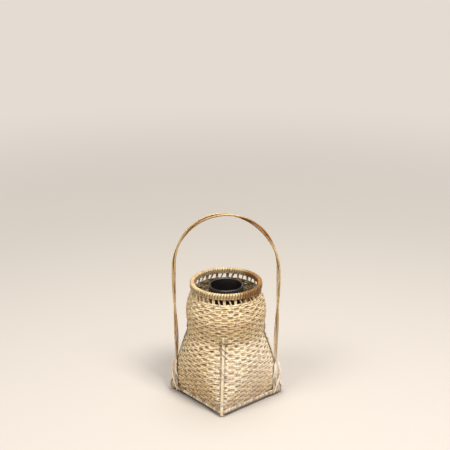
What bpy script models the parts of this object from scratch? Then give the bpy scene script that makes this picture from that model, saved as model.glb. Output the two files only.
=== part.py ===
"""Bamboo flower basket: square foot, round mouth, arched handle of two canes, water tube inside.

Metres, +Z up. The origin is on the floor under the middle of the basket. The handle stands in
the XZ plane, and the corners of the square foot point along +X, +Y, -X and -Y. A height is
measured from the foot of the woven body unless its name says otherwise, and an offset is
measured outwards from the outer face of the weave.
"""
import functools
import math

import bmesh
import bpy
from mathutils import Matrix, Vector
from mathutils.geometry import interpolate_bezier

# Between faces that touch on the real basket
CLEARANCE = 0.0003

# Two split bars that cross under the base
BAR_THICKNESS = 0.0040
BAR_WIDTH = 0.0090
BAR_SETBACK = 0.0020

# Woven body, at its outer face
BODY_HALF = 0.0672
BODY_CORNER = 0.0050
WALL = 0.0026
WEAVE_SWING = 0.0010
WEAVE_ROWS = 39
TURN_HEIGHT = 0.1150
TURN_POWER = 1.6
ROUNDING_POWER = 2
NECK_RADIUS = 0.0665
SHOULDER_RISE = 0.0420
SHOULDER_RADIUS = 0.0704
MOUTH_RISE = 0.0330
MOUTH_RADIUS = 0.0623
MOUTH_POWER = 1.6

# Woven mat that closes the base
MAT_THICKNESS = 0.0035

# Split hoop round the foot of the body, and the strip wound over it
FOOT_HOOP_THICKNESS = 0.0023
FOOT_HOOP_HEIGHT = 0.0060
FOOT_BINDING_THICKNESS = 0.0009

# Open band of stakes between the weave and the rim
STAKE_PAIRS = 20
STAKE_PAST_CORNER = 0.17
UPRIGHT_STAKE_WIDTH = 0.0050
LEANING_STAKE_WIDTH = 0.0032
STAKE_THICKNESS = 0.0012
STAKE_LEAN = 0.0038
BAND_SEAM = 0.0010
BAND_WINDOW = 0.0078
RIM_NARROWING = 0.0020

# Rim: stake ends held between two hoops under a wound strip
RIM_HOOP_THICKNESS = 0.0018
RIM_HOOP_HEIGHT = 0.0084
RIM_BINDING_THICKNESS = 0.0010

# Flat ribs up the four corners, and the strips that tie them down
RIB_WIDTH = 0.0055
RIB_THICKNESS = 0.0014
RIB_HEIGHT = 0.1340
RIB_EASE = 0.0140
RIB_TIE_THICKNESS = 0.0008
RIB_TIE_WIDTH = 0.0070
RIB_TIE_FOOT = 0.0060
RIB_TIE_SLANT_RATIO = 0.35
LOWER_TIE_HEIGHT = 0.0670
UPPER_TIE_HEIGHT = 0.1220

# Handle of two canes, side by side on the corner ribs and loosely twisted above
CANE_RADIUS = 0.0018
CANE_APART = 0.0003
CANE_SEAT = 0.0005
CANE_STEP = 0.0100
HANDLE_SET_IN = 0.0025
HANDLE_SPRING_ABOVE_RIM = 0.0210
ARCH_RISE = 0.1000
HANDLE_LEAVING = 0.0240
HANDLE_LEAVING_LEAN = 0.0050
HANDLE_BOW = 0.0020
HANDLE_BOW_BELOW = 0.0600
HANDLE_TWISTS = 3
FRONT_LEG_SPREAD = 0.0220
BACK_LEG_SPREAD = 0.0090
LEG_END_HEIGHT = 0.0025

# Cord wound round the canes and ribs, through slits in the weave
CORD_RADIUS = 0.0009
CORD_PITCH = 0.0024
CORD_LOOPS = 8
CORD_BEND = 0.0020
CORD_START_HEIGHT = 0.0350
CORD_INSIDE_ROOM = 0.0017
SLIT_CLEARANCE = 0.0004

# Water tube that stands inside
TUBE_RADIUS = 0.0300
TUBE_WALL = 0.0030
TUBE_FLOOR = 0.0060
TUBE_CHAMFER = 0.0008
TUBE_BELOW_RIM = 0.0070

# How finely the round shapes are divided
BESIDE_CORNER = 0.3
TUBE_STEPS = 40
CORD_POINTS_PER_LOOP = 24

ROOT2 = math.sqrt(2)
BODY_FOOT = BAR_THICKNESS + CLEARANCE
BODY_HEIGHT = TURN_HEIGHT + SHOULDER_RISE + MOUTH_RISE
FOOT_BINDING_PROUD = 2 * CLEARANCE + FOOT_HOOP_THICKNESS + FOOT_BINDING_THICKNESS
FOOT_BINDING_HEIGHT = FOOT_HOOP_HEIGHT + CLEARANCE + FOOT_BINDING_THICKNESS
UPRIGHT_HEIGHT = FOOT_BINDING_HEIGHT + 3 * CLEARANCE
BAND_FOOT = BODY_FOOT + BODY_HEIGHT + CLEARANCE
BAND_TOP = BAND_FOOT + BAND_SEAM + BAND_WINDOW
RIM_FOOT = BAND_TOP + CLEARANCE
RIM_TOP = RIM_FOOT + RIM_HOOP_HEIGHT + CLEARANCE + RIM_BINDING_THICKNESS
STAKE_FOOT_RADIUS = MOUTH_RADIUS - (WALL - STAKE_THICKNESS) / 2
STAKE_RIM_RADIUS = STAKE_FOOT_RADIUS - RIM_NARROWING
PAIR_HALF = CANE_RADIUS + CANE_APART / 2
CANE_ON_RIB = CLEARANCE + RIB_THICKNESS + CANE_SEAT + CANE_RADIUS
CORD_RISE = CORD_PITCH * CORD_LOOPS
BOUND_FROM = CORD_START_HEIGHT - 3 * CORD_RADIUS
BOUND_TO = CORD_START_HEIGHT + CORD_RISE + 3 * CORD_RADIUS
MAT_TOP = BODY_FOOT + MAT_THICKNESS
CORNERS = {"right": 0, "back": 1, "left": 2, "front": 3}


def clear_scene():
    for old in list(bpy.data.objects):
        bpy.data.objects.remove(old, do_unlink=True)


def new_collection(name):
    collection = bpy.data.collections.new(name)
    bpy.context.scene.collection.children.link(collection)
    return collection


def new_material(name, colour, roughness):
    material = bpy.data.materials.new(name)
    material.use_nodes = True
    shader = material.node_tree.nodes["Principled BSDF"]
    shader.inputs["Base Color"].default_value = (*colour, 1.0)
    shader.inputs["Roughness"].default_value = roughness
    shader.inputs["Metallic"].default_value = 0.0
    return material


def add_object(name, data, material, collection):
    part = bpy.data.objects.new(name, data)
    part.data.materials.append(material)
    collection.objects.link(part)
    return part


def mesh_from(bm, name, sharp_from=35):
    """Mesh whose edges are shaded sharp from an angle in degrees."""
    bmesh.ops.recalc_face_normals(bm, faces=bm.faces)
    mesh = bpy.data.meshes.new(name)
    bm.to_mesh(mesh)
    bm.free()
    mesh.shade_smooth()
    mesh.set_sharp_from_angle(angle=math.radians(sharp_from))
    return mesh


def box_mesh(name, size):
    bm = bmesh.new()
    bmesh.ops.create_cube(bm, size=1.0)
    bmesh.ops.scale(bm, vec=size, verts=bm.verts)
    mesh = bpy.data.meshes.new(name)
    bm.to_mesh(mesh)
    bm.free()
    return mesh


def cut_with_box(part, name, size, centre, cutters):
    """Subtract a box from a part."""
    cutter = bpy.data.objects.new(name, box_mesh(name, size))
    cutter.location = centre
    cutter.hide_render = True
    cutter.display_type = "WIRE"
    cutters.objects.link(cutter)
    cut = part.modifiers.new(name, "BOOLEAN")
    cut.operation = "DIFFERENCE"
    cut.object = cutter


def outline_point(half, corner, along):
    """Point on a rounded square, at a signed distance from the middle of its +X corner."""
    bent = min(abs(along), corner * math.pi / 4)
    straight = (abs(along) - bent) / ROOT2
    x = (half - corner) * ROOT2 + corner * math.cos(bent / corner) - straight
    y = corner * math.sin(bent / corner) + straight
    return Vector((x, math.copysign(y, along)))


def ring_places():
    """Places of a ring's points, in stakes from the +X corner: at and beside corners, and at stakes."""
    to_a_side = STAKE_PAIRS // 2
    stakes = [stake + STAKE_PAST_CORNER for stake in range(1, to_a_side)]
    side = [0.0, BESIDE_CORNER] + stakes + [to_a_side - BESIDE_CORNER]
    return [quarter * to_a_side + place for quarter in range(4) for place in side]


def ring(half, corner, z, offsets=None):
    """Points round a rounded square, or round a circle if its values are equal."""
    places = ring_places()
    points = []
    for place, offset in zip(places, offsets or [0.0] * len(places)):
        turn = place * 2 / STAKE_PAIRS
        nearest = round(turn)
        quarter = 2 * (half - corner) + (corner + offset) * math.pi / 2
        flat = outline_point(half + offset, corner + offset, (turn - nearest) * quarter)
        flat = Matrix.Rotation(nearest * math.pi / 2, 2) @ flat
        points.append(Vector((flat.x, flat.y, z)))
    return points


def loft(name, sections, closed=False, sharp_from=35):
    """Mesh through like sections, closed on itself or capped at both ends."""
    bm = bmesh.new()
    loops = [[bm.verts.new(point) for point in section] for section in sections]
    pairs = list(zip(loops, loops[1:]))
    if closed:
        pairs.append((loops[-1], loops[0]))
    else:
        bm.faces.new(loops[0])
        bm.faces.new(loops[-1])
    for first, second in pairs:
        for i in range(len(first)):
            j = (i + 1) % len(first)
            bm.faces.new((first[i], first[j], second[j], second[i]))
    bmesh.ops.triangulate(bm, faces=bm.faces)
    return mesh_from(bm, name, sharp_from)


def hoop_mesh(name, half, corner, profile):
    """Closed hoop whose profile is (offset, z) points."""
    sections = [ring(half + offset, corner + offset, z) for offset, z in profile]
    return loft(name, sections, closed=True)


@functools.cache
def shaped_section(height):
    """Half width and corner radius that the weave turns through, from a square to a circle."""
    if height <= TURN_HEIGHT:
        turned = max(height - UPRIGHT_HEIGHT, 0.0) / (TURN_HEIGHT - UPRIGHT_HEIGHT)
        foot_reach = (BODY_HALF - BODY_CORNER) * ROOT2 + BODY_CORNER
        reach = foot_reach + (NECK_RADIUS - foot_reach) * turned ** TURN_POWER
        squareness = (foot_reach / BODY_HALF - 1) * (1 - turned) ** ROUNDING_POWER
        half = reach / (1 + squareness)
        return half, (half * ROOT2 - reach) / (ROOT2 - 1)
    rise = height - TURN_HEIGHT
    if rise <= SHOULDER_RISE:
        swell = (1 - math.cos(math.pi * rise / SHOULDER_RISE)) / 2
        radius = NECK_RADIUS + (SHOULDER_RADIUS - NECK_RADIUS) * swell
    else:
        closing = ((rise - SHOULDER_RISE) / MOUTH_RISE) ** MOUTH_POWER
        radius = SHOULDER_RADIUS + (MOUTH_RADIUS - SHOULDER_RADIUS) * closing
    return radius, radius


@functools.cache
def wall_heights():
    """Heights at which the wall is shaped; it runs straight from one to the next."""
    middles = [BODY_HEIGHT * (row + 0.5) / WEAVE_ROWS for row in range(WEAVE_ROWS)]
    return [0.0, UPRIGHT_HEIGHT] + [middle for middle in middles if middle > UPRIGHT_HEIGHT] + [BODY_HEIGHT]


def body_section(height):
    """Half width and corner radius of the weave's outer face."""
    heights = wall_heights()
    row = sum(height > step for step in heights[1:-1])
    share = max(height - heights[row], 0.0) / (heights[row + 1] - heights[row])
    half, corner = shaped_section(heights[row])
    half_above, corner_above = shaped_section(heights[row + 1])
    return half + (half_above - half) * share, corner + (corner_above - corner) * share


def wall_point(height, along, offset):
    """Point near the +X corner, beside the weave's outer face."""
    half, corner = body_section(height)
    flat = outline_point(half + offset, corner + offset, along)
    return Vector((flat.x, flat.y, BODY_FOOT + height))


def pushed_out(height):
    """How far the foot binding pushes out what runs over it, easing to nothing above."""
    eased = (height - UPRIGHT_HEIGHT) / RIB_EASE
    eased = min(max(eased, 0.0), 1.0)
    return FOOT_BINDING_PROUD * (1 - eased * eased * (3 - 2 * eased))


def add_foot_bars(parts, cutters, material):
    """Two bars under the base from corner to corner, halved together where they cross."""
    reach = wall_point(0.0, 0.0, FOOT_BINDING_PROUD).x - BAR_SETBACK
    notch = BAR_THICKNESS / 2 + CLEARANCE / 2
    for name, turned, side in (("foot_bar_side_to_side", False, 1), ("foot_bar_front_to_back", True, -1)):
        size = (2 * reach, BAR_WIDTH, BAR_THICKNESS)
        gap = (BAR_WIDTH + 2 * CLEARANCE, 2 * BAR_WIDTH, BAR_THICKNESS)
        if turned:
            size = (size[1], size[0], size[2])
            gap = (gap[1], gap[0], gap[2])
        bar = add_object(name, box_mesh(name, size), material, parts)
        bar.location.z = BAR_THICKNESS / 2
        middle = BAR_THICKNESS / 2 + side * (BAR_THICKNESS - notch)
        cut_with_box(bar, name + "_notch", gap, (0, 0, middle), cutters)


def add_base(parts, material, binding_material):
    """Mat inside the foot of the body, hoop outside it, and the strip wound over the hoop."""
    half, corner = body_section(0.0)
    inset = WALL + CLEARANCE
    sections = [ring(half - inset, corner - inset, z) for z in (BODY_FOOT, MAT_TOP)]
    add_object("base_mat", loft("base_mat", sections), material, parts)
    inner = CLEARANCE
    outer = CLEARANCE + FOOT_HOOP_THICKNESS
    top = BODY_FOOT + FOOT_HOOP_HEIGHT
    profile = [(inner, BODY_FOOT), (outer, BODY_FOOT), (outer, top), (inner, top)]
    add_object("foot_hoop", hoop_mesh("foot_hoop", half, corner, profile), material, parts)
    skin = FOOT_BINDING_PROUD - FOOT_BINDING_THICKNESS
    lip = top + CLEARANCE
    over = lip + FOOT_BINDING_THICKNESS
    profile = [(skin, BODY_FOOT), (FOOT_BINDING_PROUD, BODY_FOOT), (FOOT_BINDING_PROUD, over),
               (inner, over), (inner, lip), (skin, lip)]
    mesh = hoop_mesh("foot_binding", half, corner, profile)
    add_object("foot_binding", mesh, binding_material, parts)


def cord_halves(height):
    """Middle and half sizes of a loop of the handle cord, seen from above."""
    reach = wall_point(height, 0.0, 0.0).x
    outside = reach + CANE_ON_RIB + CANE_RADIUS + CLEARANCE + CORD_RADIUS
    inside = reach - WALL - CORD_INSIDE_ROOM - CLEARANCE - CORD_RADIUS
    half_y = PAIR_HALF + CANE_RADIUS + CLEARANCE + CORD_RADIUS
    return (outside + inside) / 2, (outside - inside) / 2, half_y


def weave_lifts(height):
    """Round a ring, 1 where a row of the weave lies outside a stake and -1 where it lies inside."""
    row = math.cos(math.pi * (WEAVE_ROWS * height / BODY_HEIGHT - 0.5))
    return [row * math.cos(math.pi * (place - STAKE_PAST_CORNER)) for place in ring_places()]


def add_body(parts, cutters, material):
    """Woven wall, open at both ends, with slits at two corners where the handle is tied."""
    outside = []
    inside = []
    for height in wall_heights():
        half, corner = body_section(height)
        swing = WEAVE_SWING if UPRIGHT_HEIGHT < height < BODY_HEIGHT else 0.0
        lifts = weave_lifts(height)
        outer = [swing * (lift - 1) / 2 for lift in lifts]
        inner = [swing * (lift + 1) / 2 - WALL for lift in lifts]
        outside.append(ring(half, corner, BODY_FOOT + height, outer))
        inside.append(ring(half, corner, BODY_FOOT + height, inner))
    mesh = loft("body_weave", outside + inside[::-1], closed=True, sharp_from=8)
    body = add_object("body_weave", mesh, material, parts)
    middle_height = CORD_START_HEIGHT + CORD_RISE / 2
    middle, half_x, half_y = cord_halves(middle_height)
    slit_width = 2 * (CORD_RADIUS + SLIT_CLEARANCE)
    slit = (2 * half_x + CORD_RISE, slit_width, CORD_RISE + slit_width)
    for side in (-1, 1):
        for edge in (-1, 1):
            centre = (side * middle, edge * half_y, BODY_FOOT + middle_height)
            cut_with_box(body, f"slit_{'right' if side > 0 else 'left'}_{edge}", slit, centre, cutters)


def stake_point(angle, radius, z):
    return (radius * math.cos(angle), radius * math.sin(angle), z)


def add_band(parts, material):
    """Stakes above the weave: upright ones and leaning ones by turns, tied by the rim."""
    pitch = 2 * math.pi / STAKE_PAIRS
    upright = STAKE_PAST_CORNER * pitch / 2
    half = UPRIGHT_STAKE_WIDTH / STAKE_FOOT_RADIUS / 2
    leaning_half = LEANING_STAKE_WIDTH / STAKE_FOOT_RADIUS / 2
    lean = STAKE_LEAN / STAKE_FOOT_RADIUS / 2
    foot = upright + pitch / 2 + lean
    head = upright + pitch / 2 - lean
    feet = (upright - half, upright + half, foot - leaning_half, foot + leaning_half)
    heads = (upright - half, upright + half, head - leaning_half, head + leaning_half)
    rows = ((feet, STAKE_FOOT_RADIUS, BAND_FOOT), (feet, STAKE_FOOT_RADIUS, BAND_FOOT + BAND_SEAM),
            (heads, STAKE_RIM_RADIUS, BAND_TOP), (heads, STAKE_RIM_RADIUS, RIM_FOOT + RIM_HOOP_HEIGHT))
    bm = bmesh.new()
    grid = []
    for places, radius, z in rows:
        angles = [pair * pitch + place for pair in range(STAKE_PAIRS) for place in places]
        grid.append([bm.verts.new(stake_point(angle, radius, z)) for angle in angles])
    around = len(grid[0])
    for row in range(3):
        for i in range(around):
            if row == 1 and i % 2 == 1:
                continue
            j = (i + 1) % around
            bm.faces.new((grid[row][i], grid[row][j], grid[row + 1][j], grid[row + 1][i]))
    band = add_object("band_stakes", mesh_from(bm, "band_stakes"), material, parts)
    thick = band.modifiers.new("thickness", "SOLIDIFY")
    thick.thickness = STAKE_THICKNESS
    thick.offset = -1.0
    thick.use_even_offset = True


def add_rim(parts, material, binding_material):
    """Inner and outer hoop round the stake ends, and the strip wound over them."""
    outer_face = STAKE_RIM_RADIUS + CLEARANCE
    inner_face = STAKE_RIM_RADIUS - STAKE_THICKNESS - CLEARANCE
    top = RIM_FOOT + RIM_HOOP_HEIGHT
    outer_back = outer_face + RIM_HOOP_THICKNESS
    inner_back = inner_face - RIM_HOOP_THICKNESS
    hoops = {"rim_hoop_outer": (outer_face, outer_back), "rim_hoop_inner": (inner_face, inner_back)}
    for name, (near, far) in hoops.items():
        profile = [(0.0, RIM_FOOT), (far - near, RIM_FOOT), (far - near, top), (0.0, top)]
        add_object(name, hoop_mesh(name, near, near, profile), material, parts)
    skin_out = outer_back + CLEARANCE
    skin_in = inner_back - CLEARANCE
    lip = top + CLEARANCE
    thick = RIM_BINDING_THICKNESS
    profile = [(skin_out, RIM_FOOT), (skin_out + thick, RIM_FOOT), (skin_out + thick, RIM_TOP - thick / 2),
               (skin_out, RIM_TOP), (skin_in, RIM_TOP), (skin_in - thick, RIM_TOP - thick / 2),
               (skin_in - thick, RIM_FOOT), (skin_in, RIM_FOOT), (skin_in, lip), (skin_out, lip)]
    sections = [ring(radius, radius, z) for radius, z in profile]
    add_object("rim_binding", loft("rim_binding", sections, closed=True), binding_material, parts)


def rib_sections():
    """Four-sided sections of a flat rib, from the foot of the +X corner upwards."""
    steps = 18
    route = []
    for i in range(steps + 1):
        height = RIB_HEIGHT * i / steps
        route.append(wall_point(height, 0.0, CLEARANCE + pushed_out(height)))
    sections = []
    for i, point in enumerate(route):
        run = route[min(i + 1, steps)] - route[max(i - 1, 0)]
        outwards = Vector((run.z, 0.0, -run.x)).normalized() * RIB_THICKNESS
        across = Vector((0.0, RIB_WIDTH / 2, 0.0))
        inner = [point - across, point + across]
        sections.append(inner + [corner + outwards for corner in reversed(inner)])
    return sections


def rib_tie_sections(height):
    """Two ends of a strip that crosses the +X rib on a slant, with a foot on either side."""
    low = CLEARANCE
    high = 2 * CLEARANCE + RIB_THICKNESS + CLEARANCE / 2
    beside = RIB_WIDTH / 2 + CLEARANCE
    foot = beside + RIB_TIE_FOOT
    thick = RIB_TIE_THICKNESS
    under = [(-foot, low), (-beside, low), (-beside, high), (beside, high), (beside, low), (foot, low)]
    over = [(foot, low + thick), (beside + thick, low + thick), (beside + thick, high + thick),
            (-beside - thick, high + thick), (-beside - thick, low + thick), (-foot, low + thick)]
    sections = []
    for edge in (-RIB_TIE_WIDTH / 2, RIB_TIE_WIDTH / 2):
        sections.append([wall_point(height + edge + RIB_TIE_SLANT_RATIO * along, along, offset)
                         for along, offset in under + over])
    return sections


def add_ribs(parts, material, tie_material):
    """A rib up each corner, tied near its top, and lower down where no handle holds it."""
    for corner, quarter in CORNERS.items():
        turn = Matrix.Rotation(quarter * math.pi / 2, 3, "Z")
        sections = [[turn @ point for point in section] for section in rib_sections()]
        name = f"corner_rib_{corner}"
        add_object(name, loft(name, sections), material, parts)
        ties = {"upper": UPPER_TIE_HEIGHT}
        if corner in ("front", "back"):
            ties["lower"] = LOWER_TIE_HEIGHT
        for place, height in ties.items():
            sections = [[turn @ point for point in section] for section in rib_tie_sections(height)]
            name = f"rib_tie_{corner}_{place}"
            add_object(name, loft(name, sections), tie_material, parts)


def even_points(points, step):
    """The same line with points an equal distance apart, near the given step."""
    lengths = [0.0]
    for before, after in zip(points, points[1:]):
        lengths.append(lengths[-1] + (after - before).length)
    count = round(lengths[-1] / step)
    evened = []
    k = 0
    for i in range(count + 1):
        target = lengths[-1] * i / count
        while k < len(points) - 2 and lengths[k + 1] < target:
            k += 1
        share = (target - lengths[k]) / (lengths[k + 1] - lengths[k])
        evened.append(points[k].lerp(points[k + 1], share))
    return evened


def handle_middle_line():
    """Line between the two canes, from the top of the right tie over the arch to the left one."""
    leave = wall_point(BOUND_TO, PAIR_HALF, CANE_ON_RIB)
    leave.y = 0.0
    spread = wall_point(0.0, 0.0, -HANDLE_SET_IN).x
    spring = Vector((spread, 0.0, RIM_TOP + HANDLE_SPRING_ABOVE_RIM))
    lean = leave + Vector((-HANDLE_LEAVING_LEAN, 0.0, HANDLE_LEAVING))
    bow = spring + Vector((HANDLE_BOW, 0.0, -HANDLE_BOW_BELOW))
    rising = interpolate_bezier(leave, lean, bow, spring, 60)
    arch = []
    steps = 80
    for i in range(1, steps):
        angle = math.pi * i / steps
        arch.append(Vector((spring.x * math.cos(angle), 0.0, spring.z + ARCH_RISE * math.sin(angle))))
    falling = [Vector((-point.x, 0.0, point.z)) for point in reversed(rising)]
    return even_points(rising + arch + falling, CANE_STEP)


def leg_points(side, spread):
    """Right leg of a cane, from its foot beside the corner up to the top of the tie."""
    points = []
    steps = 30
    for i in range(steps + 1):
        down = 1 - i / steps
        height = BOUND_FROM + (LEG_END_HEIGHT - BOUND_FROM) * down
        along = PAIR_HALF + (spread - PAIR_HALF) * math.sin(math.pi / 2 * down)
        over_rib = (CANE_ON_RIB - CLEARANCE - CANE_RADIUS) * (1 - down)
        offset = 2 * CLEARANCE + CANE_RADIUS + over_rib + pushed_out(height)
        points.append(wall_point(height, side * along, offset))
    for i in range(1, steps):
        height = BOUND_FROM + (BOUND_TO - BOUND_FROM) * i / steps
        points.append(wall_point(height, side * PAIR_HALF, CANE_ON_RIB))
    return even_points(points, CANE_STEP / 2)


def cane_points(side, spread):
    """Route of one whole cane; side is -1 for the cane that starts at the front."""
    middle = handle_middle_line()
    twisted = []
    for i, point in enumerate(middle):
        run = (middle[min(i + 1, len(middle) - 1)] - middle[max(i - 1, 0)]).normalized()
        outwards = Vector((run.z, 0.0, -run.x))
        turn = 2 * math.pi * HANDLE_TWISTS * i / (len(middle) - 1)
        sideways = Vector((0.0, math.cos(turn), 0.0)) + outwards * math.sin(turn)
        twisted.append(point + side * PAIR_HALF * sideways)
    right_leg = leg_points(side, spread)
    left_leg = [Vector((-point.x, point.y, point.z)) for point in reversed(right_leg)]
    return right_leg + twisted + left_leg


def rounded_rectangle(half_x, half_y, bend, turns):
    """Point on a rounded rectangle after a number of turns from the middle of its +X side."""
    run_y = half_y - bend
    arc = bend * math.pi / 2
    quarter = run_y + arc + half_x - bend
    k = int(4 * turns)
    distance = (4 * turns - k) * quarter
    if k % 2 == 1:
        distance = quarter - distance
    bent = min(max(distance - run_y, 0.0), arc)
    x = half_x - bend + bend * math.cos(bent / bend) - max(distance - run_y - arc, 0.0)
    y = min(distance, run_y) + bend * math.sin(bent / bend)
    return (x if k % 4 in (0, 3) else -x), (y if k % 4 in (0, 1) else -y)


def cord_points():
    """Loops of cord at the right corner, starting and ending inside the basket."""
    points = []
    for i in range(CORD_LOOPS * CORD_POINTS_PER_LOOP + 1):
        loops = i / CORD_POINTS_PER_LOOP
        height = CORD_START_HEIGHT + CORD_PITCH * loops
        middle, half_x, half_y = cord_halves(height)
        x, y = rounded_rectangle(half_x, half_y, CORD_BEND, loops + 0.5)
        points.append(Vector((middle + x, y, BODY_FOOT + height)))
    return points


def least_gap(points, radius, apart):
    """Smallest clear space between stretches of a tube that are some points apart."""
    nearest = min((points[i] - points[j]).length
                  for i in range(len(points)) for j in range(i + apart, len(points)))
    return nearest - 2 * radius


def add_tube_along(name, points, radius, material, parts):
    """Solid round rod along a list of points."""
    curve = bpy.data.curves.new(name, "CURVE")
    curve.dimensions = "3D"
    curve.bevel_depth = radius
    curve.bevel_resolution = 1
    curve.use_fill_caps = True
    spline = curve.splines.new("POLY")
    spline.points.add(len(points) - 1)
    for target, point in zip(spline.points, points):
        target.co = (*point, 1.0)
    add_object(name, curve, material, parts)


def add_handle(parts, material, tie_material):
    """Two canes from foot to foot, and a cord wound at each foot of the handle."""
    add_tube_along("handle_cane_front", cane_points(-1, FRONT_LEG_SPREAD), CANE_RADIUS, material, parts)
    add_tube_along("handle_cane_back", cane_points(1, BACK_LEG_SPREAD), CANE_RADIUS, material, parts)
    right = cord_points()
    left = [Vector((-point.x, point.y, point.z)) for point in right]
    add_tube_along("handle_tie_right", right, CORD_RADIUS, tie_material, parts)
    add_tube_along("handle_tie_left", left, CORD_RADIUS, tie_material, parts)
    gap = least_gap(right, CORD_RADIUS, CORD_POINTS_PER_LOOP // 2)
    print(f"handle tie: {CORD_LOOPS} loops, least gap to itself {gap * 1000:.2f} mm")


def add_water_tube(parts, material):
    """Turned cup that stands on the mat; its origin is on its axis, at its foot."""
    top = RIM_TOP - TUBE_BELOW_RIM - MAT_TOP - CLEARANCE
    inner = TUBE_RADIUS - TUBE_WALL
    chamfer = TUBE_CHAMFER
    profile = [(0.0, TUBE_FLOOR), (inner, TUBE_FLOOR), (inner, top - chamfer), (inner + chamfer, top),
               (TUBE_RADIUS - chamfer, top), (TUBE_RADIUS, top - chamfer), (TUBE_RADIUS, chamfer),
               (TUBE_RADIUS - chamfer, 0.0), (0.0, 0.0)]
    bm = bmesh.new()
    line = [bm.verts.new((radius, 0.0, z)) for radius, z in profile]
    for before, after in zip(line, line[1:]):
        bm.edges.new((before, after))
    mesh = bpy.data.meshes.new("water_tube")
    bm.to_mesh(mesh)
    bm.free()
    tube = add_object("water_tube", mesh, material, parts)
    tube.location.z = MAT_TOP + CLEARANCE
    turned = tube.modifiers.new("turned", "SCREW")
    turned.steps = TUBE_STEPS
    turned.render_steps = TUBE_STEPS
    turned.use_merge_vertices = True
    turned.merge_threshold = 0.00001
    turned.use_smooth_shade = True


def main():
    clear_scene()
    parts = new_collection("bamboo_flower_basket")
    cutters = new_collection("cutters")
    weave = new_material("woven_bamboo", (0.62, 0.46, 0.27), 0.55)
    split = new_material("split_bamboo", (0.60, 0.42, 0.22), 0.50)
    wound = new_material("wound_strip", (0.68, 0.52, 0.33), 0.50)
    cane = new_material("handle_cane", (0.52, 0.33, 0.15), 0.45)
    lacquer = new_material("black_lacquer", (0.015, 0.012, 0.010), 0.25)
    add_foot_bars(parts, cutters, split)
    add_base(parts, weave, wound)
    add_body(parts, cutters, weave)
    add_band(parts, split)
    add_rim(parts, split, wound)
    add_ribs(parts, split, wound)
    add_handle(parts, cane, wound)
    add_water_tube(parts, lacquer)


main()
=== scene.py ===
"""Bamboo flower basket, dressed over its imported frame. Metres, +Z up, in the frame's own place.

Heights are measured from the foot of the woven body, offsets outwards from its outer face, and
a share is the part of the way round the basket from its +X corner.
"""
import math

import bmesh
import bpy
import numpy as np
from mathutils import Matrix, Vector


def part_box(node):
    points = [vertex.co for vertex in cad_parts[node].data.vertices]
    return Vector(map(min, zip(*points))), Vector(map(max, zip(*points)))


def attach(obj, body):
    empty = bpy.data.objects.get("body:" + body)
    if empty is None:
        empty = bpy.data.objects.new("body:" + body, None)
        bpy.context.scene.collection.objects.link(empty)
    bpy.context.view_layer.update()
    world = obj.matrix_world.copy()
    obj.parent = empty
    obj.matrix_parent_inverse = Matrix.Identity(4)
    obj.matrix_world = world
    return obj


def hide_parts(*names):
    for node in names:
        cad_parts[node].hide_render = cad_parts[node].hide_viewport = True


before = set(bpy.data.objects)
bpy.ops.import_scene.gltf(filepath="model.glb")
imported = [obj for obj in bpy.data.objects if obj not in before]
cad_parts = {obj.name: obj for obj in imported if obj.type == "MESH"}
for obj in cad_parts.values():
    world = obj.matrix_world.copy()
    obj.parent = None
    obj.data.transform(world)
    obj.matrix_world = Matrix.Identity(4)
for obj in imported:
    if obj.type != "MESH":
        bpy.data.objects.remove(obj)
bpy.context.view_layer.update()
for leftover in ("Cube", "Light", "Camera"):
    if leftover in bpy.data.objects:
        bpy.data.objects.remove(bpy.data.objects[leftover])

# Two bars of split bamboo, crossed under the base from corner to corner and halved together.
# Their ends are the feet. They are sawn and scraped, so their edges are only a little soft.
BAR_WIDTH = 0.0090
BAR_SOFT_EDGE = 0.0007
KNOT_LINE = (0.0004, 0.0014)
DULL_EDGE = (0.01, 0.14)
GROOVE_LINE = (0.04, 0.15)
RELIEF_DEPTH = 0.0003
KEY_LAMP_SIDE = (0.8, -0.6)
PAINTED_LIGHT_FROM = (0.015, 0.075)
PAINTED_LIGHT_UP_TO = (0.09, 0.15)
BROWNER_RIGHT_ABOVE = (0.192, 0.200)
BROWNER_RIGHT_FROM = (0.018, 0.040)
BROWNER_RIGHT_UP_TO = (0.070, 0.084)
PALE_FOOT_UP_TO = (0.05, 0.08)
MERGED_WITHIN = 0.00001
FLAT_WITHIN = 0.02


def feed(taker, inputs):
    """Give values or links to the inputs of a shader node."""
    for key, value in inputs.items():
        if isinstance(value, bpy.types.NodeSocket):
            taker.id_data.links.new(value, taker.inputs[key])
        else:
            taker.inputs[key].default_value = value


def node(tree, kind, inputs=None, **settings):
    """Shader node with its settings, and with values or links given to its inputs."""
    made = tree.nodes.new("ShaderNode" + kind)
    for key, value in settings.items():
        setattr(made, key, value)
    feed(made, inputs or {})
    return made


def joined(kind, inputs, **settings):
    """Shader node in the tree of the links among its inputs."""
    links = [value for value in inputs.values() if isinstance(value, bpy.types.NodeSocket)]
    return node(links[0].id_data, kind, inputs, **settings).outputs


def maths(operation, *values, clamp=False):
    """Output of a Math node."""
    return joined("Math", dict(enumerate(values)), operation=operation, use_clamp=clamp)[0]


def times(first, second):
    """Product of two values."""
    return maths("MULTIPLY", first, second)


def added(base, value, factor, clamp=False):
    """A base plus a value times a factor."""
    return maths("MULTIPLY_ADD", value, factor, base, clamp=clamp)


def centred(value):
    """A value that runs from 0 to 1, made to run from -0.5 to 0.5."""
    return maths("SUBTRACT", value, 0.5)


def remaining(value):
    """What is left of 1 without a value."""
    return maths("SUBTRACT", 1.0, value)


def blended(share, first, second, how="MIX"):
    """Output of a colour Mix node."""
    return joined("Mix", {0: share, 6: first, 7: second}, data_type="RGBA", blend_type=how)[2]


def stepped(value, low, high):
    """Smooth step of a value, from 0 at low to 1 at high."""
    inputs = {0: value, 1: low, 2: high, 3: 0.0, 4: 1.0}
    return joined("MapRange", inputs, interpolation_type="SMOOTHSTEP")[0]


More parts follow.
